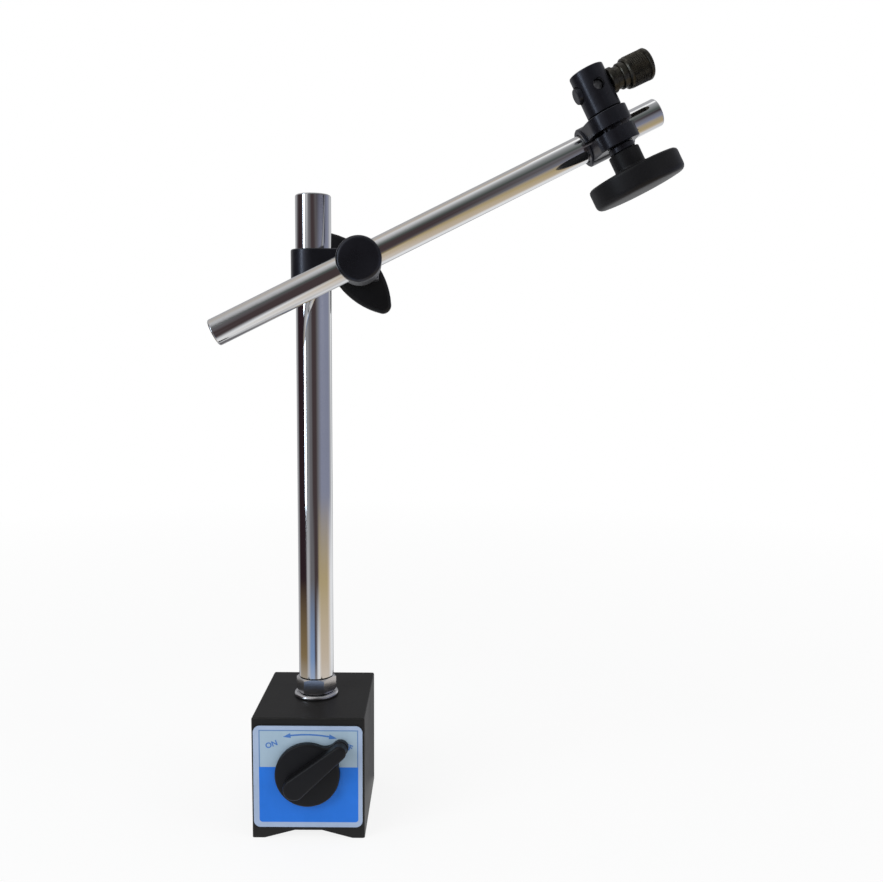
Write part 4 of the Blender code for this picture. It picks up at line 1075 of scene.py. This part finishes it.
floor_tree = floor_finish.material.node_tree
NEAR_LIFT, FAR_LIFT = 0.86, 1.0
LIFT_START, LIFT_LENGTH = 0.25, 0.65
outward = paper.node("ShaderNodeVectorMath", {"operation": "LENGTH"}, {0: floor_finish.place}, "Value")
far_out = ((outward - LIFT_START) / LIFT_LENGTH).clamped()
lifted = seen_rays(floor_finish.place) * (NEAR_LIFT + far_out * (FAR_LIFT - NEAR_LIFT))
white = paper.node("ShaderNodeEmission", None, {"Color": (1, 1, 1, 1), "Strength": 1.0})
shader_out = Socket(floor_tree, floor_finish.shader.outputs[0])
mixed = lifted.node("ShaderNodeMixShader", None, {0: lifted, 1: shader_out, 2: white})
floor_tree.links.new(mixed.output, floor_tree.nodes["Material Output"].inputs["Surface"])
floor.data.materials.append(floor_finish.material)
floor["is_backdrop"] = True
print("floor is", round(floor.dimensions.x, 1), "m wide")

# %% World
world = bpy.data.worlds.new("studio")
bpy.context.scene.world = world
world.use_nodes = True
sky = world.node_tree.nodes["Background"]
sky.inputs["Color"].default_value = (1, 1, 1, 1)
SKY_LIGHT = 0.55
sky_level = seen_rays(Socket(world.node_tree)) * (1.0 - SKY_LIGHT) + SKY_LIGHT
world.node_tree.links.new(sky_level.output, sky.inputs["Strength"])
bpy.context.scene.view_settings.view_transform = "Standard"
print("sky light:", SKY_LIGHT)

# %% [markdown]
# ## What the chrome sees
# A chromed bar shows the room in narrow streaks: each angle round the bar mirrors one direction of the
# room. In plain white it would look like white plastic, so studios stand dark and tinted cards around
# polished metal. The cards here are round bands from the floor up to a roof. Each edge of a band has its
# ramp of colours over the angle, and each runs softly into the next. The palette and its angles were tuned
# until the streaks on the bars came close to those in the photograph. Only mirrored rays see the cards, so
# they don't change the light on the stand.

# %% Card colours
DARK = (0.025, 0.014, 0.018)
BROWN = (0.058, 0.042, 0.044)
OLIVE = (0.070, 0.085, 0.078)
GREY = (0.140, 0.135, 0.145)
BACK = (0.260, 0.265, 0.280)
BLUE_GREY = (0.230, 0.245, 0.330)
BLUE = (0.190, 0.290, 0.490)
EARTH = (0.220, 0.155, 0.075)
TAN = (0.430, 0.340, 0.185)
BEIGE = (0.560, 0.470, 0.370)
SILVER = (0.420, 0.420, 0.435)
PALE = (0.800, 0.805, 0.820)

NEAR = [(-180, GREY), (-120, PALE), (85, PALE), (120, SILVER), (145, SILVER), (162, GREY), (180, GREY)]
MIDDLE = [
    (-180, GREY), (-150, SILVER), (-130, SILVER), (-110, EARTH), (-58, EARTH), (-44, SILVER), (-26, BLUE),
    (-6, BLUE), (3, BROWN), (8, BROWN), (15, SILVER), (24, PALE), (42, BEIGE), (95, BEIGE), (125, PALE),
    (152, PALE), (168, GREY), (180, GREY),
]
FAR = [
    (-180, SILVER), (-130, SILVER), (-112, DARK), (-58, DARK), (-48, SILVER), (-38, SILVER), (-24, GREY),
    (-4, GREY), (4, BROWN), (20, BROWN), (33, TAN), (88, TAN), (104, BEIGE), (120, PALE), (150, PALE),
    (180, SILVER),
]
WALL = [
    (-180, BACK), (-166, BACK), (-152, SILVER), (-134, SILVER), (-112, DARK), (-62, DARK), (-48, BACK),
    (-36, BACK), (-22, GREY), (-14, GREY), (-4, BROWN), (16, BROWN), (28, GREY), (50, BLUE_GREY),
    (112, BLUE_GREY), (130, SILVER), (145, PALE), (152, PALE), (162, BACK), (180, BACK),
]
HIGH_WALL = [
    (-180, SILVER), (-150, SILVER), (-120, SILVER), (-98, BROWN), (-74, BROWN), (-52, BACK),
    (-44, PALE), (-34, PALE), (-22, GREY), (-6, BROWN), (8, BROWN), (20, GREY), (30, DARK), (86, DARK),
    (112, BLUE_GREY), (150, SILVER), (180, SILVER),
]
LOW_ROOF = [
    (-180, SILVER), (-110, SILVER), (-60, BACK), (-36, GREY), (-14, OLIVE), (20, OLIVE), (60, GREY),
    (110, BACK), (150, SILVER), (180, SILVER),
]
HIGH_ROOF = [(-180, SILVER), (-110, BEIGE), (-60, PALE), (-30, PALE), (0, SILVER), (180, SILVER)]

FLOOR_LEVEL = 0.0002
WALL_RADIUS = 0.95
RINGS = [
    (0.04, FLOOR_LEVEL, NEAR),
    (0.23, FLOOR_LEVEL, MIDDLE),
    (0.45, FLOOR_LEVEL, FAR),
    (WALL_RADIUS, FLOOR_LEVEL, WALL),
    (WALL_RADIUS, 0.30, WALL),
    (WALL_RADIUS, 0.55, HIGH_WALL),
    (WALL_RADIUS, 0.80, LOW_ROOF),
    (0.15, 1.25, HIGH_ROOF),
]
print("cards:", len(RINGS), "rings from the floor to the roof")


# %% Cards round the stand
def cards(name, ring, next_ring):
    """A round band between two rings of radius, height and stops. Angle 0 is on the camera's side."""
    radius, height, stops = ring
    next_radius, next_height, next_stops = next_ring
    bpy.ops.object.select_all(action="DESELECT")
    bpy.ops.mesh.primitive_circle_add(vertices=128, radius=radius)
    made = bpy.context.object
    made.name = name
    bpy.ops.object.mode_set(mode="EDIT")
    bpy.ops.mesh.select_mode(type="VERT")
    bpy.ops.mesh.select_all(action="SELECT")
    bpy.ops.transform.translate(value=(0, 0, height))
    rise = (0, 0, next_height - height)
    bpy.ops.mesh.extrude_region_move(TRANSFORM_OT_translate={"value": rise})
    share = next_radius / radius
    bpy.ops.transform.resize(value=(share, share, 1), center_override=(0, 0, 0))
    bpy.ops.object.mode_set(mode="OBJECT")
    paint = Finish(name)
    x, y, z = paint.axes()
    angle = x.math("ARCTAN2", y * -1.0) / (2 * pi) + 0.5
    if next_height > height:
        along = (z - height) / (next_height - height)
    else:
        length = {"operation": "LENGTH"}
        outward = paint.place.node("ShaderNodeVectorMath", length, {0: paint.place}, "Value")
        along = (outward - radius) / (next_radius - radius)
    ramps = []
    for colours in (stops, next_stops):
        shares = [((degrees + 180) / 360, colour) for degrees, colour in colours]
        ramps.append(angle.node("ShaderNodeValToRGB", {"stops": shares}, {0: angle}))
    colour = along.clamped().over(*ramps)
    glow = colour.node("ShaderNodeEmission", None, {"Color": colour, "Strength": 1.0})
    tree = paint.material.node_tree
    tree.links.new(glow.output, tree.nodes["Material Output"].inputs["Surface"])
    made.data.materials.append(paint.material)
    made.visible_camera = False
    made.visible_diffuse = False
    made.visible_shadow = False
    made.visible_transmission = False
    made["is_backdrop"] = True


for number, pair in enumerate(zip(RINGS, RINGS[1:]), 1):
    cards(f"card_band_{number}", *pair)
print("the cards are", len(RINGS) - 1, "bands")

# %% [markdown]
# ## Lamps
# One large soft light from the upper left is the key, and a weaker one fills the right side. A narrow,
# slightly blue strip at the left draws the long highlight on the dark round pieces. Area lights are used
# because a larger light gives a softer shadow.

# %% Soft lamps
STAND_MIDDLE = (0.04, 0, 0.18)
STRIP_AIM = (0.04, 0, 0.35)
STRIP_BLUE = (0.75, 0.87, 1.0)


def softbox(name, watts, size, spot, aim, colour=(1, 1, 1)):
    data = bpy.data.lights.new(name, "AREA")
    data.shape = "RECTANGLE"
    data.size, data.size_y = size
    data.energy = watts
    data.color = colour
    lamp = bpy.data.objects.new(name, data)
    bpy.context.scene.collection.objects.link(lamp)
    towards = Vector(aim) - Vector(spot)
    lamp.matrix_world = Matrix.Translation(spot) @ towards.to_track_quat("-Z", "Y").to_matrix().to_4x4()


softbox("key", 5.5, (0.7, 0.9), (-0.75, -0.75, 0.95), STAND_MIDDLE)
softbox("strip", 1.7, (0.16, 0.7), (-0.72, -0.50, 0.35), STRIP_AIM, STRIP_BLUE)
softbox("fill", 3.0, (0.5, 0.9), (0.95, -0.45, 0.55), STAND_MIDDLE)
print("three soft lamps")

# %% [markdown]
# ## Check the size
# The visual model has to stay in the box of the imported model, so both boxes are measured, and how far
# the visual model grows past the imported one is printed for each axis.

# %% Sizes
visual_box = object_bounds()
for axis in range(3):
    grown = max(cad_box[0][axis] - visual_box[0][axis], visual_box[1][axis] - cad_box[1][axis])
    print("XYZ"[axis], "grows by", round(grown * 1000, 3), "mm")
